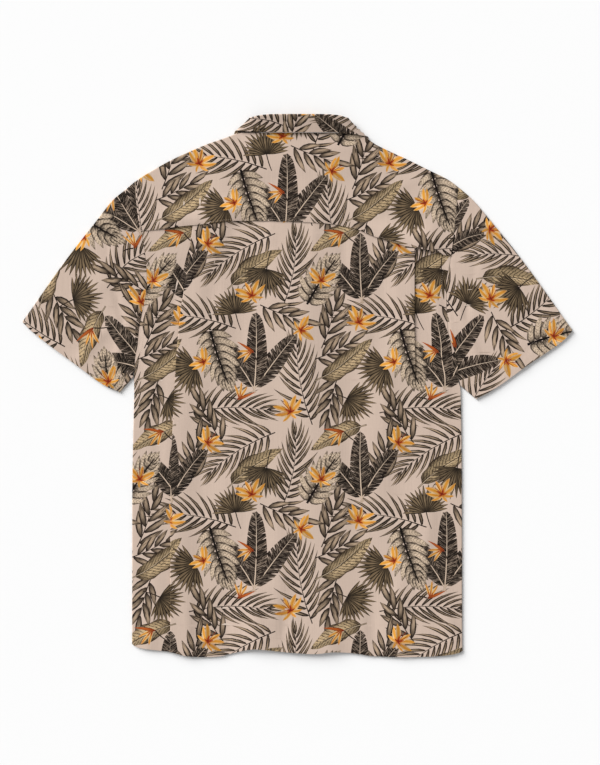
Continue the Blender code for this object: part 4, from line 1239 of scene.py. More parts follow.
def draw_repeat():
    drawing = Drawing()
    for (motif, _, _, heading, *sizes), start in zip(LAYOUT, settled(LAYOUT)):
        getattr(drawing, motif)(start, np.radians(heading), *sizes)
    return drawing.shapes


def cells(first, last):
    """The repeats from one column and row to another, as offsets."""
    return [REPEAT * (i, j) for i in range(first[0], last[0] + 1) for j in range(first[1], last[1] + 1)]


def repeated(shapes):
    """Adds the copies of each shape that reach into the repeat from its neighbours, in the same order."""
    found = []
    for shape in shapes:
        low, high = shape.outline.min(0), shape.outline.max(0)
        first, last = np.ceil(-high / REPEAT).astype(int), np.floor((REPEAT - low) / REPEAT).astype(int)
        found += [shape.moved(offset) for offset in cells(first, last)]
    return found


PATCH = 24.0  # the print is cut into triangles in squares of this size, because larger ones cost much more
WELD = 1000.0  # points nearer than a thousandth of a millimetre are one


def clip(segments, low, high):
    """The parts of the segments that lie in a box."""
    start, step = segments[:, 0], segments[:, 1] - segments[:, 0]
    enter, leave = np.zeros(len(segments)), np.ones(len(segments))
    with np.errstate(divide="ignore", invalid="ignore"):
        for axis in (0, 1):
            for bound, sign in ((low[axis], 1), (high[axis], -1)):
                inside, ahead = sign * (start[:, axis] - bound), sign * step[:, axis]
                cross = (bound - start[:, axis]) / step[:, axis]
                enter = np.where((ahead > 0) & (inside < 0), np.maximum(enter, cross), enter)
                leave = np.where((ahead < 0) & (inside + ahead < 0), np.minimum(leave, cross), leave)
                leave = np.where((ahead == 0) & (inside < 0), -1, leave)
                leave = np.where((ahead > 0) & (inside + ahead < 0), -1, leave)
                leave = np.where((ahead < 0) & (inside < 0), -1, leave)
    kept = leave > enter
    start, step, enter, leave = start[kept], step[kept], enter[kept][:, None], leave[kept][:, None]
    first = np.where(enter > 0, start + step * enter, start)
    last = np.where(leave < 1, start + step * leave, start + step)
    return np.clip(np.stack([first, last], 1), low, high)


def near(boxes, low, high):
    """Which boxes reach into this one."""
    return np.all(boxes[:, 1] >= low, axis=1) & np.all(boxes[:, 0] <= high, axis=1)


def corners_of(low, high):
    return np.array([[low[0], low[1]], [high[0], low[1]], [high[0], high[1]], [low[0], high[1]]])


def triangulate(low, high, segments, points=()):
    """Triangles that fill a box, with the segments as edges: places and triangles."""
    segments = clip(segments, low, high)
    places = np.concatenate([corners_of(low, high), segments.reshape(-1, 2), np.reshape(points, (-1, 2))])
    edges = [(0, 1), (1, 2), (2, 3), (3, 0)] + [(4 + 2 * k, 5 + 2 * k) for k in range(len(segments))]
    found = delaunay_2d_cdt([Vector(p) for p in places], edges, [], 1, 1e-5, False)
    return np.array([tuple(v) for v in found[0]]), np.array(found[2]).reshape(-1, 3)


def patches(low, high):
    """The low and high corners of the squares that fill a box."""
    count = np.maximum(np.ceil((high - low) / PATCH).astype(int), 1)
    x, y = (np.linspace(low[k], high[k], count[k] + 1) for k in (0, 1))
    for i in range(count[0]):
        for j in range(count[1]):
            yield np.array([x[i], y[j]]), np.array([x[i + 1], y[j + 1]])


def covers(outline, places):
    """Whether an outline goes round each of the places."""
    start, end = outline, np.roll(outline, -1, axis=0)
    x, y = places[:, 0, None], places[:, 1, None]
    crosses = (start[:, 1] > y) != (end[:, 1] > y)
    with np.errstate(divide="ignore", invalid="ignore"):
        at = start[:, 0] + (y - start[:, 1]) * (end[:, 0] - start[:, 0]) / (end[:, 1] - start[:, 1])
    return np.sum(crosses & (x < at), axis=1) % 2 == 1


def outline_edges(outline):
    return np.stack([outline, np.roll(outline, -1, 0)], 1)


class Print:
    """One repeat of the print: what shows on top at any place, and the lines between what shows."""

    def __init__(self, drawn):
        self.shapes = repeated(drawn)
        boxes = np.array([[s.outline.min(0), s.outline.max(0)] for s in self.shapes])
        corners, tops, lines = [], [], []
        for low, high in patches(np.zeros(2), REPEAT):
            local = np.nonzero(near(boxes, low, high))[0]
            edges = [np.zeros((0, 2, 2))] + [outline_edges(self.shapes[k].outline) for k in local]
            places, triangles = triangulate(low, high, np.concatenate(edges))
            centres = places[triangles].mean(1)
            top = np.full(len(triangles), -1)
            for k in local:
                top[covers(self.shapes[k].outline, centres)] = k
            corners.append(places[triangles])
            tops.append(top)
            lines.append(places[self.between(triangles, top)])
        self.lines, self.tops = np.concatenate(lines), np.concatenate(tops)
        flat = np.concatenate(corners).reshape(-1, 2)
        self.tree = flat_tree(flat, np.arange(len(flat)).reshape(-1, 3))
        names = ("start", "along", "length", "half", "bend", "tone")
        self.frames = [np.array([getattr(shape, name) for shape in self.shapes]) for name in names]
        self.inks = np.array([KINDS.index(shape.kind) for shape in self.shapes])

    def between(self, triangles, top):
        """The edges that have different shapes on their two sides."""
        edges, owner = sides(triangles)
        edges = np.sort(edges, axis=1)
        order = np.lexsort((edges[:, 1], edges[:, 0]))
        edges, owner = edges[order], owner[order]
        same = np.all(edges[1:] == edges[:-1], axis=1)
        differ = top[owner[1:]] != top[owner[:-1]]
        return edges[1:][same & differ]

    def dress(self, corners):
        """Each triangle's ink, its corners in its shape's own frame, and the shape's size and tone."""
        cell = np.floor(corners.mean(1) / REPEAT) * REPEAT
        face = face_at(self.tree, corners.mean(1) - cell)
        shape = np.where(face < 0, -1, self.tops[face])
        drawn = shape >= 0
        start, along, length, half, bend, tone = (values[np.maximum(shape, 0)] for values in self.frames)
        off = corners - (cell + start)[:, None]
        u = np.sum(off * along[:, None], -1) / length[:, None]
        across = off[..., 1] * along[:, None, 0] - off[..., 0] * along[:, None, 1]
        w = (across - (bend * length)[:, None] * u * np.abs(u)) / half[:, None]
        own, size = np.stack([u, w], -1), np.stack([length, np.abs(half)], -1)
        ink = np.where(drawn, self.inks[np.maximum(shape, 0)], 0)
        return ink, own * drawn[:, None, None], size * drawn[:, None], tone * drawn


class Laid:
    """How the print lies on a piece: turned, and moved along the piece's own flat cloth."""

    def __init__(self, turn, x, y):
        cos, sin = np.cos(np.radians(turn)), np.sin(np.radians(turn))
        self.turn = np.array([[cos, -sin], [sin, cos]])
        self.offset = np.array([x, y], float)

    def to_cloth(self, places):
        return places @ self.turn.T + self.offset

    def to_print(self, places):
        return (places - self.offset) @ self.turn


def print_lines(sheet, laid):
    """The lines between the print's shapes, over the whole of a sheet."""
    corners = laid.to_print(corners_of(sheet.flat.min(0), sheet.flat.max(0)))
    first, last = (np.floor(corner / REPEAT).astype(int) for corner in (corners.min(0), corners.max(0)))
    return np.concatenate([laid.to_cloth(PRINT.lines + offset) for offset in cells(first, last)])


def cut_cloth(sheet, outline, lines):
    """The flat cloth's places and triangles inside an outline, cut along the lines and the sharp turns."""
    used = sheet.flat[sheet.used]
    lines = np.concatenate([outline, sheet.flat[sheet.inner_lines()], lines])
    boxes = np.stack([lines.min(1), lines.max(1)], 1)
    places, triangles = [], []
    count = 0
    for low, high in patches(used.min(0) - 1, used.max(0) + 1):
        local = near(boxes, low, high)
        points = used[np.all((used > low + 0.01) & (used < high - 0.01), axis=1)]
        on_outline = local[: len(outline)].any()
        if not len(points) and not on_outline:
            continue
        found, faces = triangulate(low, high, lines[local], points)
        if on_outline:
            faces = faces[face_at(sheet.tree, found[faces].mean(1)) >= 0]
        places.append(found)
        triangles.append(faces + count)
        count += len(found)
    places, triangles = np.concatenate(places), np.concatenate(triangles)
    rounded = np.round(places * WELD).astype(np.int64)
    _, first, whole = np.unique(rounded, axis=0, return_index=True, return_inverse=True)
    places, triangles = places[first], whole.reshape(-1)[triangles]
    a, b, c = triangles.T
    triangles = triangles[(a != b) & (b != c) & (c != a)]
    kept, renumbered = np.unique(triangles, return_inverse=True)
    return places[kept], renumbered.reshape(triangles.shape)


def again(places, among):
    """Where each of the places is among others."""
    tree = KDTree(len(among))
    for k, (x, y) in enumerate(among):
        tree.insert((x, y, 0), k)
    tree.balance()
    return np.array([tree.find((x, y, 0))[1] for x, y in places])


# ---------------------------------------------------------------------------------------------------------
# Meshes
# ---------------------------------------------------------------------------------------------------------
def make_cloth(node, sheet, shell, laid, inks, wrong_side, doubled):
    """One piece of the shirt: its outer face, its inner face, and the cloth's edge between them.

    Where the cloth is doubled the inner face is printed too. Elsewhere it is the plain wrong side.
    """
    places, triangles = cut_cloth(sheet, sheet.flat[rim(sheet.triangles)], print_lines(sheet, laid))
    ink, own, size, tone = PRINT.dress(laid.to_print(places)[triangles])
    edge = rim(triangles)
    inner_places, inner = places, triangles
    if not doubled:
        inner_places, inner = cut_cloth(sheet, places[edge], np.zeros((0, 2, 2)))
    count = len(places)
    below = np.zeros(count, int)  # where each point of the edge is on the inner face
    on_edge = np.unique(edge)
    below[on_edge] = again(places[on_edge], inner_places) + count
    edge = edge[below[edge[:, 0]] != below[edge[:, 1]]]
    if sheet.way < 0:
        triangles, own, inner, edge = (part[:, ::-1] for part in (triangles, own, inner, edge))
    start, end = edge.T
    faces = np.concatenate([
        triangles, inner[:, ::-1] + count,
        np.stack([end, start, below[start]], 1), np.stack([end, below[start], below[end]], 1),
    ])
    if doubled:
        own = np.concatenate([own, own[:, ::-1]])
        ink, size, tone = np.tile(ink, 2), np.tile(size, (2, 1)), np.tile(tone, 2)
    plain = len(faces) - len(ink)
    all_places = np.concatenate([places, inner_places])
    points, normals = sheet.carry(all_places)
    normals[count:] *= -1
    mesh = mesh_of("cloth_" + node, points + normals * shell / 2, faces, [*inks, wrong_side])
    mesh.polygons.foreach_set("material_index", np.append(ink, np.full(plain, len(inks))).astype(np.int32))
    store_corners(mesh, "cloth", all_places[faces].reshape(-1, 2) * MM)
    store_corners(mesh, "leaf", np.concatenate([own.reshape(-1, 2), np.zeros((3 * plain, 2))]))
    store_corners(mesh, "leaf_size", np.concatenate([np.repeat(size, 3, 0), np.zeros((3 * plain, 2))]))
    tones = mesh.attributes.new("tone", "FLOAT", "FACE")
    tones.data.foreach_set("value", np.append(tone, np.zeros(plain)).astype(np.float32))
    mesh.normals_split_custom_set_from_vertices(normals.tolist())
    mesh.update()
    return add_piece(mesh, SLOT_CLOTH, node)


def mesh_of(name, points, faces, materials):
    """A smooth mesh from points in millimetres."""
    mesh = bpy.data.meshes.new(name)
    mesh.from_pydata((points * MM).tolist(), [], faces if isinstance(faces, list) else faces.tolist())
    mesh.polygons.foreach_set("use_smooth", np.ones(len(faces), bool))
    for material in materials:
        mesh.materials.append(material)
    return mesh


def store_corners(mesh, name, values):
    layer = mesh.uv_layers.new(name=name, do_init=False)
    layer.uv.foreach_set("vector", values.astype(np.float32).ravel())


def add_object(name, data):
    made = bpy.data.objects.new(name, data)
    bpy.context.scene.collection.objects.link(made)
    return made


def add_piece(mesh, slot, *nodes):
    piece = add_object(mesh.name, mesh)
    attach(piece, "root")
    if nodes:
        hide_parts(*nodes)
    return piece


# ---------------------------------------------------------------------------------------------------------
# Materials
# ---------------------------------------------------------------------------------------------------------
def linear(colour):
    """A colour given as 0 to 255 on a screen, as light."""
    c = np.array(colour) / 255
    return (*np.where(c <= 0.04045, c / 12.92, ((c + 0.055) / 1.055) ** 2.4), 1.0)


class Graph:
    """A material's nodes. Inputs are numbers, colours or other nodes' outputs."""

    def __init__(self, name):
        self.material = bpy.data.materials.new(name)
        self.material.use_nodes = True
        self.tree = self.material.node_tree
        self.shader = self.tree.nodes["Principled BSDF"]

    def put(self, socket, value):
        if isinstance(value, bpy.types.NodeSocket):
            self.tree.links.new(value, socket)
        else:
            socket.default_value = value[:3] if socket.type == "VECTOR" else value

    def node(self, kind, inputs=(), output=0, **settings):
        made = self.tree.nodes.new("ShaderNode" + kind)
        for key, value in settings.items():
            setattr(made, key, value)
        for key, value in dict(inputs).items():
            self.put(made.inputs[key], value)
        return made.outputs[output]

    def math(self, operation, a, b=0.0):
        return self.node("Math", {0: a, 1: b}, operation=operation)

    def times(self, a, b):
        return self.math("MULTIPLY", a, b)

    def plus(self, a, b):
        return self.math("ADD", a, b)

    def off_half(self, value):
        return self.math("SUBTRACT", value, 0.5)

    def smooth(self, value, start, end, low=0.0, high=1.0):
        inputs = {"Value": value, "From Min": start, "From Max": end, "To Min": low, "To Max": high}
        return self.node("MapRange", inputs, interpolation_type="SMOOTHSTEP")

    def mix(self, share, a, b):
        return self.node("Mix", {0: share, 6: a, 7: b}, output=2, data_type="RGBA")

    def scaled(self, colour, factor):
        return self.node("VectorMath", {0: colour, 3: factor}, operation="SCALE")

    def parts(self, name):
        """The two parts of a UV layer."""
        attribute = self.node("UVMap", uv_map=name)
        split = self.tree.nodes.new("ShaderNodeSeparateXYZ")
        self.put(split.inputs[0], attribute)
        return split.outputs[0], split.outputs[1]

    def vector(self, x, y, z=0.0):
        return self.node("CombineXYZ", {0: x, 1: y, 2: z})

    def noise(self, vector, scale=1.0, detail=2.0):
        inputs = {"Vector": vector, "Scale": scale, "Detail": detail}
        return self.node("TexNoise", inputs, noise_dimensions="3D")

    def bump(self, strength, distance, height):
        return self.node("Bump", {"Strength": strength, "Distance": distance, "Height": height})

    def shaded(self, inputs):
        """The material, with these on its shader's own inputs."""
        for name, value in inputs.items():
            self.put(self.shader.inputs[name], value)
        return self.material


THREAD = 0.55  # millimetres between threads
GROUND = linear((195, 174, 159))
WRONG_SIDE = linear((206, 188, 174))


def finish_cloth(graph, colour):
    """The cloth under the ink: uneven threads, a fine weave and a soft sheen."""
    a, b = graph.parts("cloth")
    warp = graph.noise(graph.vector(graph.times(a, 900), graph.times(b, 18)), detail=1.0)
    weft = graph.noise(graph.vector(graph.times(a, 40), graph.times(b, 1500), 7.0), detail=1.0)
    threads = graph.plus(warp, graph.times(weft, 0.4))
    colour = graph.scaled(colour, graph.smooth(threads, 0.4, 1.0, 0.965, 1.03))
    pitch = 2 * np.pi / (THREAD * MM)
    weave = graph.times(graph.math("SINE", graph.times(a, pitch)), graph.math("SINE", graph.times(b, pitch)))
    height = graph.plus(graph.times(weave, 0.5), graph.times(threads, 0.8))
    return graph.shaded({
        "Base Color": colour, "Normal": graph.bump(0.35, 0.00012, height), "Roughness": 0.82,
        "Sheen Weight": 0.02, "Sheen Roughness": 0.5, "Specular IOR Level": 0.08,
    })


INKS = {
    # middle, edge, edge from and to, base colour, base end, tip from, streak colour, share and pitch
    "stem": ((48, 38, 31), (28, 22, 17), 0.2, 1.0, (28, 22, 17), 0.0, 1.2, (80, 65, 54), 0.3, 1.0),
    "leaflet": ((150, 129, 107), (28, 22, 17), 0.06, 0.6, (24, 18, 14), 0.46, 0.62, (36, 28, 22), 0.75, 1.1),
    "fan": ((114, 96, 73), (26, 21, 16), 0.15, 0.75, (28, 22, 17), 0.42, 0.8, (28, 22, 17), 0.8, 0.7),
    "banana": ((32, 25, 20), (96, 80, 68), 0.8, 1.1, (22, 17, 14), 0.12, 1.2, (156, 137, 120), 0.72, 0.75),
    "banana_rib": (
        (182, 162, 143), (116, 97, 82), 0.4, 1.0, (146, 126, 108), 0.1, 1.2, (116, 97, 82), 0.2, 1.0,
    ),
    "ripple": ((194, 173, 150), (26, 20, 16), 0.42, 0.84, (28, 22, 17), 0.34, 0.68, (72, 58, 48), 0.6, 1.3),
    "ripple_rib": ((26, 20, 16), (20, 16, 13), 0.3, 1.0, (20, 16, 13), 0.1, 1.2, (50, 40, 33), 0.3, 1.0),
    "lance": ((160, 138, 116), (28, 22, 17), 0.16, 0.74, (24, 18, 14), 0.54, 0.6, (42, 33, 26), 0.75, 0.9),
    "wavy": ((168, 145, 112), (66, 53, 40), 0.42, 1.0, (46, 36, 27), 0.26, 0.86, (54, 43, 33), 0.55, 0.9),
    "wavy_rib": (
        (190, 170, 144), (142, 123, 101), 0.4, 1.0, (152, 132, 110), 0.1, 1.2, (142, 123, 101), 0.2, 1.0,
    ),
    "petal": ((202, 140, 50), (210, 182, 138), 0.2, 0.8, (160, 70, 24), 0.3, 0.84, (172, 94, 32), 0.75, 0.9),
    "heart": ((140, 46, 20), (166, 70, 26), 0.2, 1.0, (106, 30, 16), 0.5, 0.95, (110, 32, 17), 0.6, 0.9),
    "stamen": ((120, 40, 19), (146, 58, 24), 0.3, 1.0, (106, 31, 16), 0.3, 0.9, (106, 31, 16), 0.3, 0.9),
    "spike": ((170, 82, 32), (124, 42, 20), 0.3, 1.0, (110, 34, 17), 0.35, 0.9, (196, 120, 48), 0.5, 1.0),
}
KINDS = ("ground", *INKS)
VEINS = {
    # colour, share, pitch and slant of side veins
    "wavy": ((32, 25, 19), 0.9, 6.0, 1.3),
    "ripple": ((40, 32, 25), 0.6, 4.2, 0.9),
}


def ink_material(kind):
    """An ink: its edges, the base and the tip of its shapes, their veins, and streaks, over the cloth."""
    middle, edge, edge_from, edge_to, base, base_end, tip_from, streak, streak_share, pitch = INKS[kind]
    graph = Graph("print_" + kind)
    u, w = graph.parts("leaf")
    length, half = graph.parts("leaf_size")
    tone = graph.node("Attribute", attribute_name="tone", output=2)
    along, across = graph.times(u, length), graph.times(w, half)
    apart = graph.times(tone, 37)  # so that no two shapes have the same streaks
    lines = graph.noise(graph.vector(graph.times(along, 0.09), graph.math("DIVIDE", across, pitch), apart))
    soft = graph.noise(graph.vector(graph.times(along, 0.2), graph.times(across, 0.4), apart))
    worn = graph.plus(graph.math("ABSOLUTE", w), graph.times(graph.off_half(lines), 0.7))
    colour = graph.mix(graph.smooth(worn, edge_from, edge_to), linear(middle), linear(edge))
    root = graph.plus(u, graph.times(graph.off_half(lines), 0.5))
    if base_end > 0:
        colour = graph.mix(graph.smooth(root, 0, base_end, 1, 0), colour, linear(base))
    if tip_from < 1:
        colour = graph.mix(graph.smooth(root, tip_from, 1.05), colour, linear(edge))
    if kind in VEINS:
        vein, share, vein_pitch, slant = VEINS[kind]
        slanted = graph.math("SUBTRACT", along, graph.times(graph.math("ABSOLUTE", across), slant))
        count = graph.math("DIVIDE", graph.plus(slanted, graph.times(soft, 6.0)), vein_pitch)
        wave = graph.math("ABSOLUTE", graph.off_half(graph.math("FRACT", count)))
        colour = graph.mix(graph.times(graph.smooth(wave, 0.3, 0.46), share), colour, linear(vein))
    streaks = graph.smooth(lines, 0.53, 0.63)
    colour = graph.mix(graph.times(streaks, streak_share), colour, linear(streak))
    colour = graph.scaled(colour, graph.plus(graph.times(tone, 0.9), 0.55))
    return finish_cloth(graph, colour)


def thread_material():
    graph = Graph("thread")
    ply = graph.noise(graph.node("TexCoord", output=3), 2600.0)
    colour = graph.mix(ply, linear((150, 130, 114)), linear((188, 168, 152)))
    return graph.shaded({"Base Color": colour, "Normal": graph.bump(0.5, 0.0001, ply), "Roughness": 0.7})


def horn_material():
    """Brown horn: soft clouds drawn out one way, and a fine grain."""
    graph = Graph("button_horn")
    at = graph.node("TexCoord", output=3)
    clouds = graph.noise(graph.node("Mapping", {0: at, 3: (140.0, 420.0, 200.0)}), detail=4.0)
    grain = graph.noise(at, 3200.0)
    colour = graph.mix(graph.smooth(clouds, 0.35, 0.68), linear((66, 44, 30)), linear((128, 92, 62)))
    colour = graph.scaled(colour, graph.smooth(grain, 0.3, 0.7, 0.92, 1.06))
    return graph.shaded({"Base Color": colour, "Roughness": graph.smooth(clouds, 0.3, 0.7, 0.26, 0.4)})


inks = [finish_cloth(Graph("print_ground"), GROUND), *map(ink_material, INKS)]
wrong_side = finish_cloth(Graph("wrong_side"), WRONG_SIDE)
thread = thread_material()
horn = horn_material()


# ---------------------------------------------------------------------------------------------------------
# Stitches and buttonholes. Each stitch is a small raised lens, and its ends are places in the flat cloth
# ---------------------------------------------------------------------------------------------------------
STITCH_PITCH = 3.2
STITCH_LENGTH = 2.5
STITCH_HALF = 0.3
STITCH_RISE = 0.24
SEAM_STITCH = 7.0  # from a seam to the stitches beside it, which hold its allowance
ARMHOLE_FROM = 8.0  # the armhole's stitches start this far above the underarm
EDGE_STITCH = 1.8  # from an edge to the stitches that close it
SHOULDER_STITCH = 2.0
BAND_STITCHES = (3.0, 33.0)  # from the front's edge to the button band's two lines
COLLAR_STITCH = 4.5
STEP_IN = 9  # columns from a seam to the one that shows which way is in
COLLAR_ROLL = 8  # columns of the fall under its roll, with no stitches at their ends
BUTTONHOLE_HALF = 7.2
BUTTONHOLE_SLOT = 0.15
BUTTONHOLE_WIDTH = 1.3
BUTTONHOLE_PITCH = 0.62


def stitched(line):
    """Starts and ends of the stitches along a line of the flat cloth."""
    along = run(*line.T)
    starts = np.arange(STITCH_PITCH, along[-1] - STITCH_PITCH, STITCH_PITCH)
    at = starts[:, None] + [0, STITCH_LENGTH]
    return np.stack([np.interp(at, along, line[:, axis]) for axis in (0, 1)], -1)


def buttonhole(x, y):
    """Short stitches across both sides of an upright slot."""
    up = np.arange(-BUTTONHOLE_HALF, BUTTONHOLE_HALF + 0.01, BUTTONHOLE_PITCH)
    found = []
    for side in (-1, 1):
        ends = [np.full(len(up), side * off) for off in (BUTTONHOLE_SLOT, BUTTONHOLE_WIDTH)]
        found.append(np.stack([np.stack([off, up], 1) for off in ends], 1))
    return np.concatenate(found) + [x, y]


def stitches_of(node, cloth):
    """Every stitch of a piece, from the lines along its edges."""
    def inset(line, inner, depth):
        step = inner - line
        return line + depth * step / np.linalg.norm(step, axis=1, keepdims=True)

    def by_row(depth, edge=0, first=0):
        inner = 1 if edge == 0 else -2
        return inset(cloth[edge, first:], cloth[inner, first:], depth)

    def by_column(depth, edge=-1, steps=1, above=-np.inf):
        rows = cloth[:, edge, 1] > above
        inner = steps if edge == 0 else edge - steps
        return inset(cloth[rows, edge], cloth[rows, inner], depth)

    def by_armhole(edge, side):
        return by_column(SEAM_STITCH, edge, STEP_IN, UNDERARM[side] + ARMHOLE_FROM)

    if node == "back":
        lines = [by_row(HEM_TURN[0]), by_armhole(0, -1), by_armhole(-1, 1)]
    elif node == "yoke":
        lines = [by_row(EDGE_STITCH), *(by_column(SEAM_STITCH, edge, STEP_IN) for edge in (0, -1))]
    elif node.startswith("front"):
        side = -1 if node.endswith("left") else 1
        lines = [
            by_row(HEM_TURN[0] - FRONT_HEM_LIFT), *(by_column(depth, 0) for depth in BAND_STITCHES),
            by_armhole(-1, side), by_row(SHOULDER_STITCH, -1),
        ]
    elif node.startswith("sleeve"):
        lines = [by_row(CUFF_TURN[0], -1)]
    elif node == "collar_fall":
        lines = [by_column(COLLAR_STITCH), *(by_row(COLLAR_STITCH, edge, COLLAR_ROLL) for edge in (0, -1))]
    else:
        lines = [by_column(EDGE_STITCH)]
    found = [stitched(line) for line in lines]
    if node == "front_left":
        found += [buttonhole(0, FIRST_BUTTON_Y - k * BUTTON_PITCH) for k in range(FRONT_BUTTONS)]
    return np.concatenate(found)


def make_stitches(node, sheet, shell):
    ends = stitches_of(node, sheet.cloth)
    start, end, middle = ends[:, 0], ends[:, 1], ends.mean(1)
    step = end - start
    half = STITCH_HALF * np.stack([-step[:, 1], step[:, 0]], 1) / np.linalg.norm(step, axis=1, keepdims=True)
    corners = []
    lens = ((start, -0.1), (middle - half, 0.02), (end, -0.1), (middle + half, 0.02), (middle, STITCH_RISE))
    for at, rise in lens:
        points, normals = sheet.carry(at)
        corners.append(points + normals * (shell / 2 + rise))
    first = 5 * np.arange(len(ends))[:, None]
    turn = 1 if sheet.way > 0 else -1
    faces = np.concatenate([first + np.array([a, b, 4])[::turn] for a, b in ((0, 1), (1, 2), (2, 3), (3, 0))])
    mesh = mesh_of("stitches_" + node, np.stack(corners, 1).reshape(-1, 3), faces, [thread])
    return add_piece(mesh, SLOT_CLOTH)


# ---------------------------------------------------------------------------------------------------------
# Buttons, which face the table: a raised rim, a dish with four holes, and the thread through them
# ---------------------------------------------------------------------------------------------------------
BUTTON_FACE = ((0, 3.2, 3.6, 4.1, 4.6, 5.1, 5.45, 5.6), (0.75, 0.75, 0.6, 0.2, 0.0, 0.08, 0.35, 0.75))
BUTTON_BACK = ((0, 3.2, 5.1, 5.45, 5.6), (0.0, 0.0, 0.15, 0.35, 0.75))
BUTTON_RINGS = BUTTON_FACE[0][:0:-1]
HOLE_RADIUS = 0.75
HOLE_PLACE = 1.25
THREAD_RADIUS = 0.34
THREAD_OVER_DISH = 0.3
THREAD_BOW = 0.55
SHANK_RADIUS = 1.5
SHANK_OVER_DISH = 1.2
BUTTON_UNDER_CLOTH = 3.1  # height of the cloth that the shank reaches
TUBE_SIDES = 8
TUBE_STATIONS = 5
SHARP = np.radians(38)


def ring(x, y, radius, count):
    angle = 2 * np.pi * np.arange(count) / count
    return np.stack([x + radius * np.cos(angle), y + radius * np.sin(angle)], 1)


def button_plate():
    """The button's outline with its holes, as places and triangles."""
    rings = [ring(0, 0, radius, 40) for radius in BUTTON_RINGS]
    holes = [ring(i * HOLE_PLACE, j * HOLE_PLACE, HOLE_RADIUS, 14) for i in (-1, 1) for j in (-1, 1)]
    far = np.full(2, BUTTON_RADIUS + 1)
    places, triangles = triangulate(-far, far, np.concatenate([outline_edges(c) for c in rings + holes]))
    centre = places[triangles].mean(1)
    kept = covers(rings[0], centre)
    for hole in holes:
        kept &= ~covers(hole, centre)
    return places, triangles[kept]


def tube(start, end, radius, bow):
    """A thread from start to end, bowed along -Z in its middle: points and faces."""
    t = np.linspace(0, 1, TUBE_STATIONS)[:, None]
    line = start + (end - start) * t - np.array([0, 0, bow]) * np.sin(np.pi * t)
    ahead = (end - start) / np.linalg.norm(end - start)
    across = np.cross(ahead, [0, 0, 1.0]) if abs(ahead[2]) < 0.9 else np.array([1.0, 0, 0])
    up = np.cross(across, ahead)
    angle = 2 * np.pi * np.arange(TUBE_SIDES) / TUBE_SIDES
    around = np.cos(angle)[:, None] * across + np.sin(angle)[:, None] * up
    points = (line[:, None] + radius * around).reshape(-1, 3)
    k = np.arange(TUBE_SIDES)
    first = TUBE_SIDES * np.arange(TUBE_STATIONS - 1)[:, None]
    a, b = (first + k).ravel(), (first + (k + 1) % TUBE_SIDES).ravel()
    return points, np.stack([a, b, b + TUBE_SIDES, a + TUBE_SIDES], 1)


def make_button(node, y):
    places, triangles = button_plate()
    from_centre = np.linalg.norm(places, axis=1)
    face = BUTTON_BOTTOM + np.interp(from_centre, *BUTTON_FACE)
    back = BUTTON_BOTTOM + BUTTON_THICKNESS - np.interp(from_centre, *BUTTON_BACK)
    count = len(places)
    start, end = rim(triangles).T
    points = [np.column_stack([places, face]), np.column_stack([places, back])]
    faces = [*triangles[:, ::-1].tolist(), *(triangles + count).tolist()]
    faces += np.stack([start, end, end + count, start + count], 1).tolist()
    plastic = len(faces)  # the faces after these are thread
    dish = BUTTON_BOTTOM + BUTTON_FACE[1][0]
    threads = []
    for y_of_holes in (-HOLE_PLACE, HOLE_PLACE):
        start, end = ((x, y_of_holes, dish + THREAD_OVER_DISH) for x in (-HOLE_PLACE, HOLE_PLACE))
        threads.append((start, end, THREAD_RADIUS, THREAD_BOW))
    threads.append(((0, 0, dish + SHANK_OVER_DISH), (0, 0, BUTTON_UNDER_CLOTH), SHANK_RADIUS, 0.0))
    for start, end, radius, bow in threads:
        found, found_faces = tube(np.array(start), np.array(end), radius, bow)
        faces += (found_faces + sum(map(len, points))).tolist()
        points.append(found)
    mesh = mesh_of("four_hole_" + node, np.concatenate(points) + [0, y, 0], faces, [horn, thread])
    mesh.polygons.foreach_set("material_index", (np.arange(len(faces)) >= plastic).astype(np.int32))
    mesh.set_sharp_from_angle(angle=SHARP)
    return add_piece(mesh, SLOT_BUTTONS, node)


PRINT = Print(draw_repeat())
PIECES = (
    # node, sheet, shell, the print's turn and place, flat width and length in m, area in m2, what it lies on
    ("back", back_sheet, SHELL, (0, 30, -60), 0.527, 0.643, 0.3072, ["yoke", "front_left", "front_right"]),
    ("yoke", yoke_sheet, SHELL, (0, 75, 172), 0.47, 0.206, 0.0636, ["back", "front_left", "front_right"]),
    ("front_left", lambda: front_sheet(-1), SHELL, (0, 60, 110), 0.26, 0.739, 0.1776, ["front_right"]),
    ("front_right", lambda: front_sheet(1), SHELL, (0, 0, 20), 0.26, 0.736, 0.1758, ["front_left"]),
    ("sleeve_left", lambda: sleeve_sheet(-1), SHELL, (42, 70, 30), 0.315, 0.31, 0.0600, ["back"]),
    ("sleeve_right", lambda: sleeve_sheet(1), SHELL, (-40, 20, 90), 0.315, 0.31, 0.0600, ["back"]),
    ("collar_stand", stand_sheet, COLLAR_SHELL, (90, 30, 40), 0.465, 0.039, 0.0121, ["yoke"]),
    ("collar_fall", fall_sheet, COLLAR_SHELL, (90, 160, 30), 0.392, 0.103, 0.0152, ["yoke"]),
)
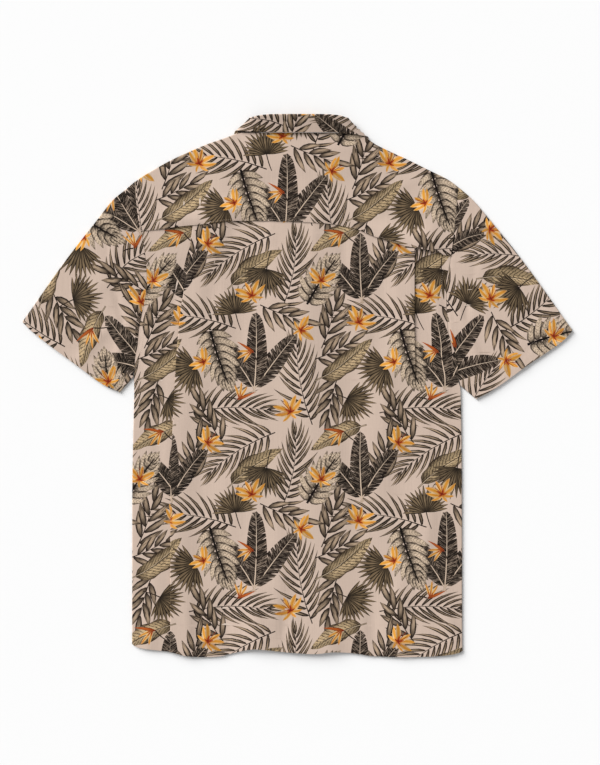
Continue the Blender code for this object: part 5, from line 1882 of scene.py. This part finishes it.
for node, make_sheet, shell, laid, width, length, area, rests_on in PIECES:
    sheet = make_sheet()
    piece = make_cloth(node, sheet, shell, Laid(*laid), inks, wrong_side, doubled=shell == COLLAR_SHELL)
    stitches = make_stitches(node, sheet, shell)
    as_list(rests_on)

make_button("button_stand", STAND_BUTTON_Y)
for k in range(FRONT_BUTTONS):
    make_button(f"button_{k + 1}", FIRST_BUTTON_Y - k * BUTTON_PITCH)

# ---------------------------------------------------------------------------------------------------------
# Floor, light and camera, in metres
# ---------------------------------------------------------------------------------------------------------
FLOOR_SIZE = 6.0
FLOOR_DROP = 0.0002  # under the shirt's lowest point
FLOOR_GREY = 0.86
CAMERA_PLACE = (0.00365, 0.0051, 2.64)
CAMERA_LENS = 85
CAMERA_SENSOR = 36
LIGHT_WAY = (1.0, -0.9, -0.715)
LIGHT_ANGLE = 40  # degrees: a broad lamp, as the photo's soft shadows show
LIGHT_ENERGY = 4.45
SKY_STRENGTH = 0.47

floor_mesh = bpy.data.meshes.new("floor")
h = FLOOR_SIZE / 2
floor_mesh.from_pydata([(-h, -h, 0), (h, -h, 0), (h, h, 0), (-h, h, 0)], [], [(0, 1, 2, 3)])
floor_colour = (FLOOR_GREY, FLOOR_GREY, FLOOR_GREY, 1)
floor_mesh.materials.append(Graph("floor").shaded({"Base Color": floor_colour, "Roughness": 0.9}))
floor = add_object("floor", floor_mesh)
floor.location.z = cad_low[2] - FLOOR_DROP

camera = add_object("camera", bpy.data.cameras.new("camera"))
camera.data.lens = CAMERA_LENS
camera.data.sensor_width = CAMERA_SENSOR
camera.location = CAMERA_PLACE
bpy.context.scene.camera = camera

lamp = add_object("lamp", bpy.data.lights.new("lamp", "SUN"))
lamp.data.angle = np.radians(LIGHT_ANGLE)
lamp.data.energy = LIGHT_ENERGY
lamp.rotation_euler = Vector(LIGHT_WAY).to_track_quat("-Z", "Y").to_euler()

world = bpy.data.worlds.new("world")
world.use_nodes = True
sky = world.node_tree.nodes["Background"]
sky.inputs["Color"].default_value = (1, 1, 1, 1)
sky.inputs["Strength"].default_value = SKY_STRENGTH
bpy.context.scene.world = world
bpy.context.scene.view_settings.view_transform = "Standard"
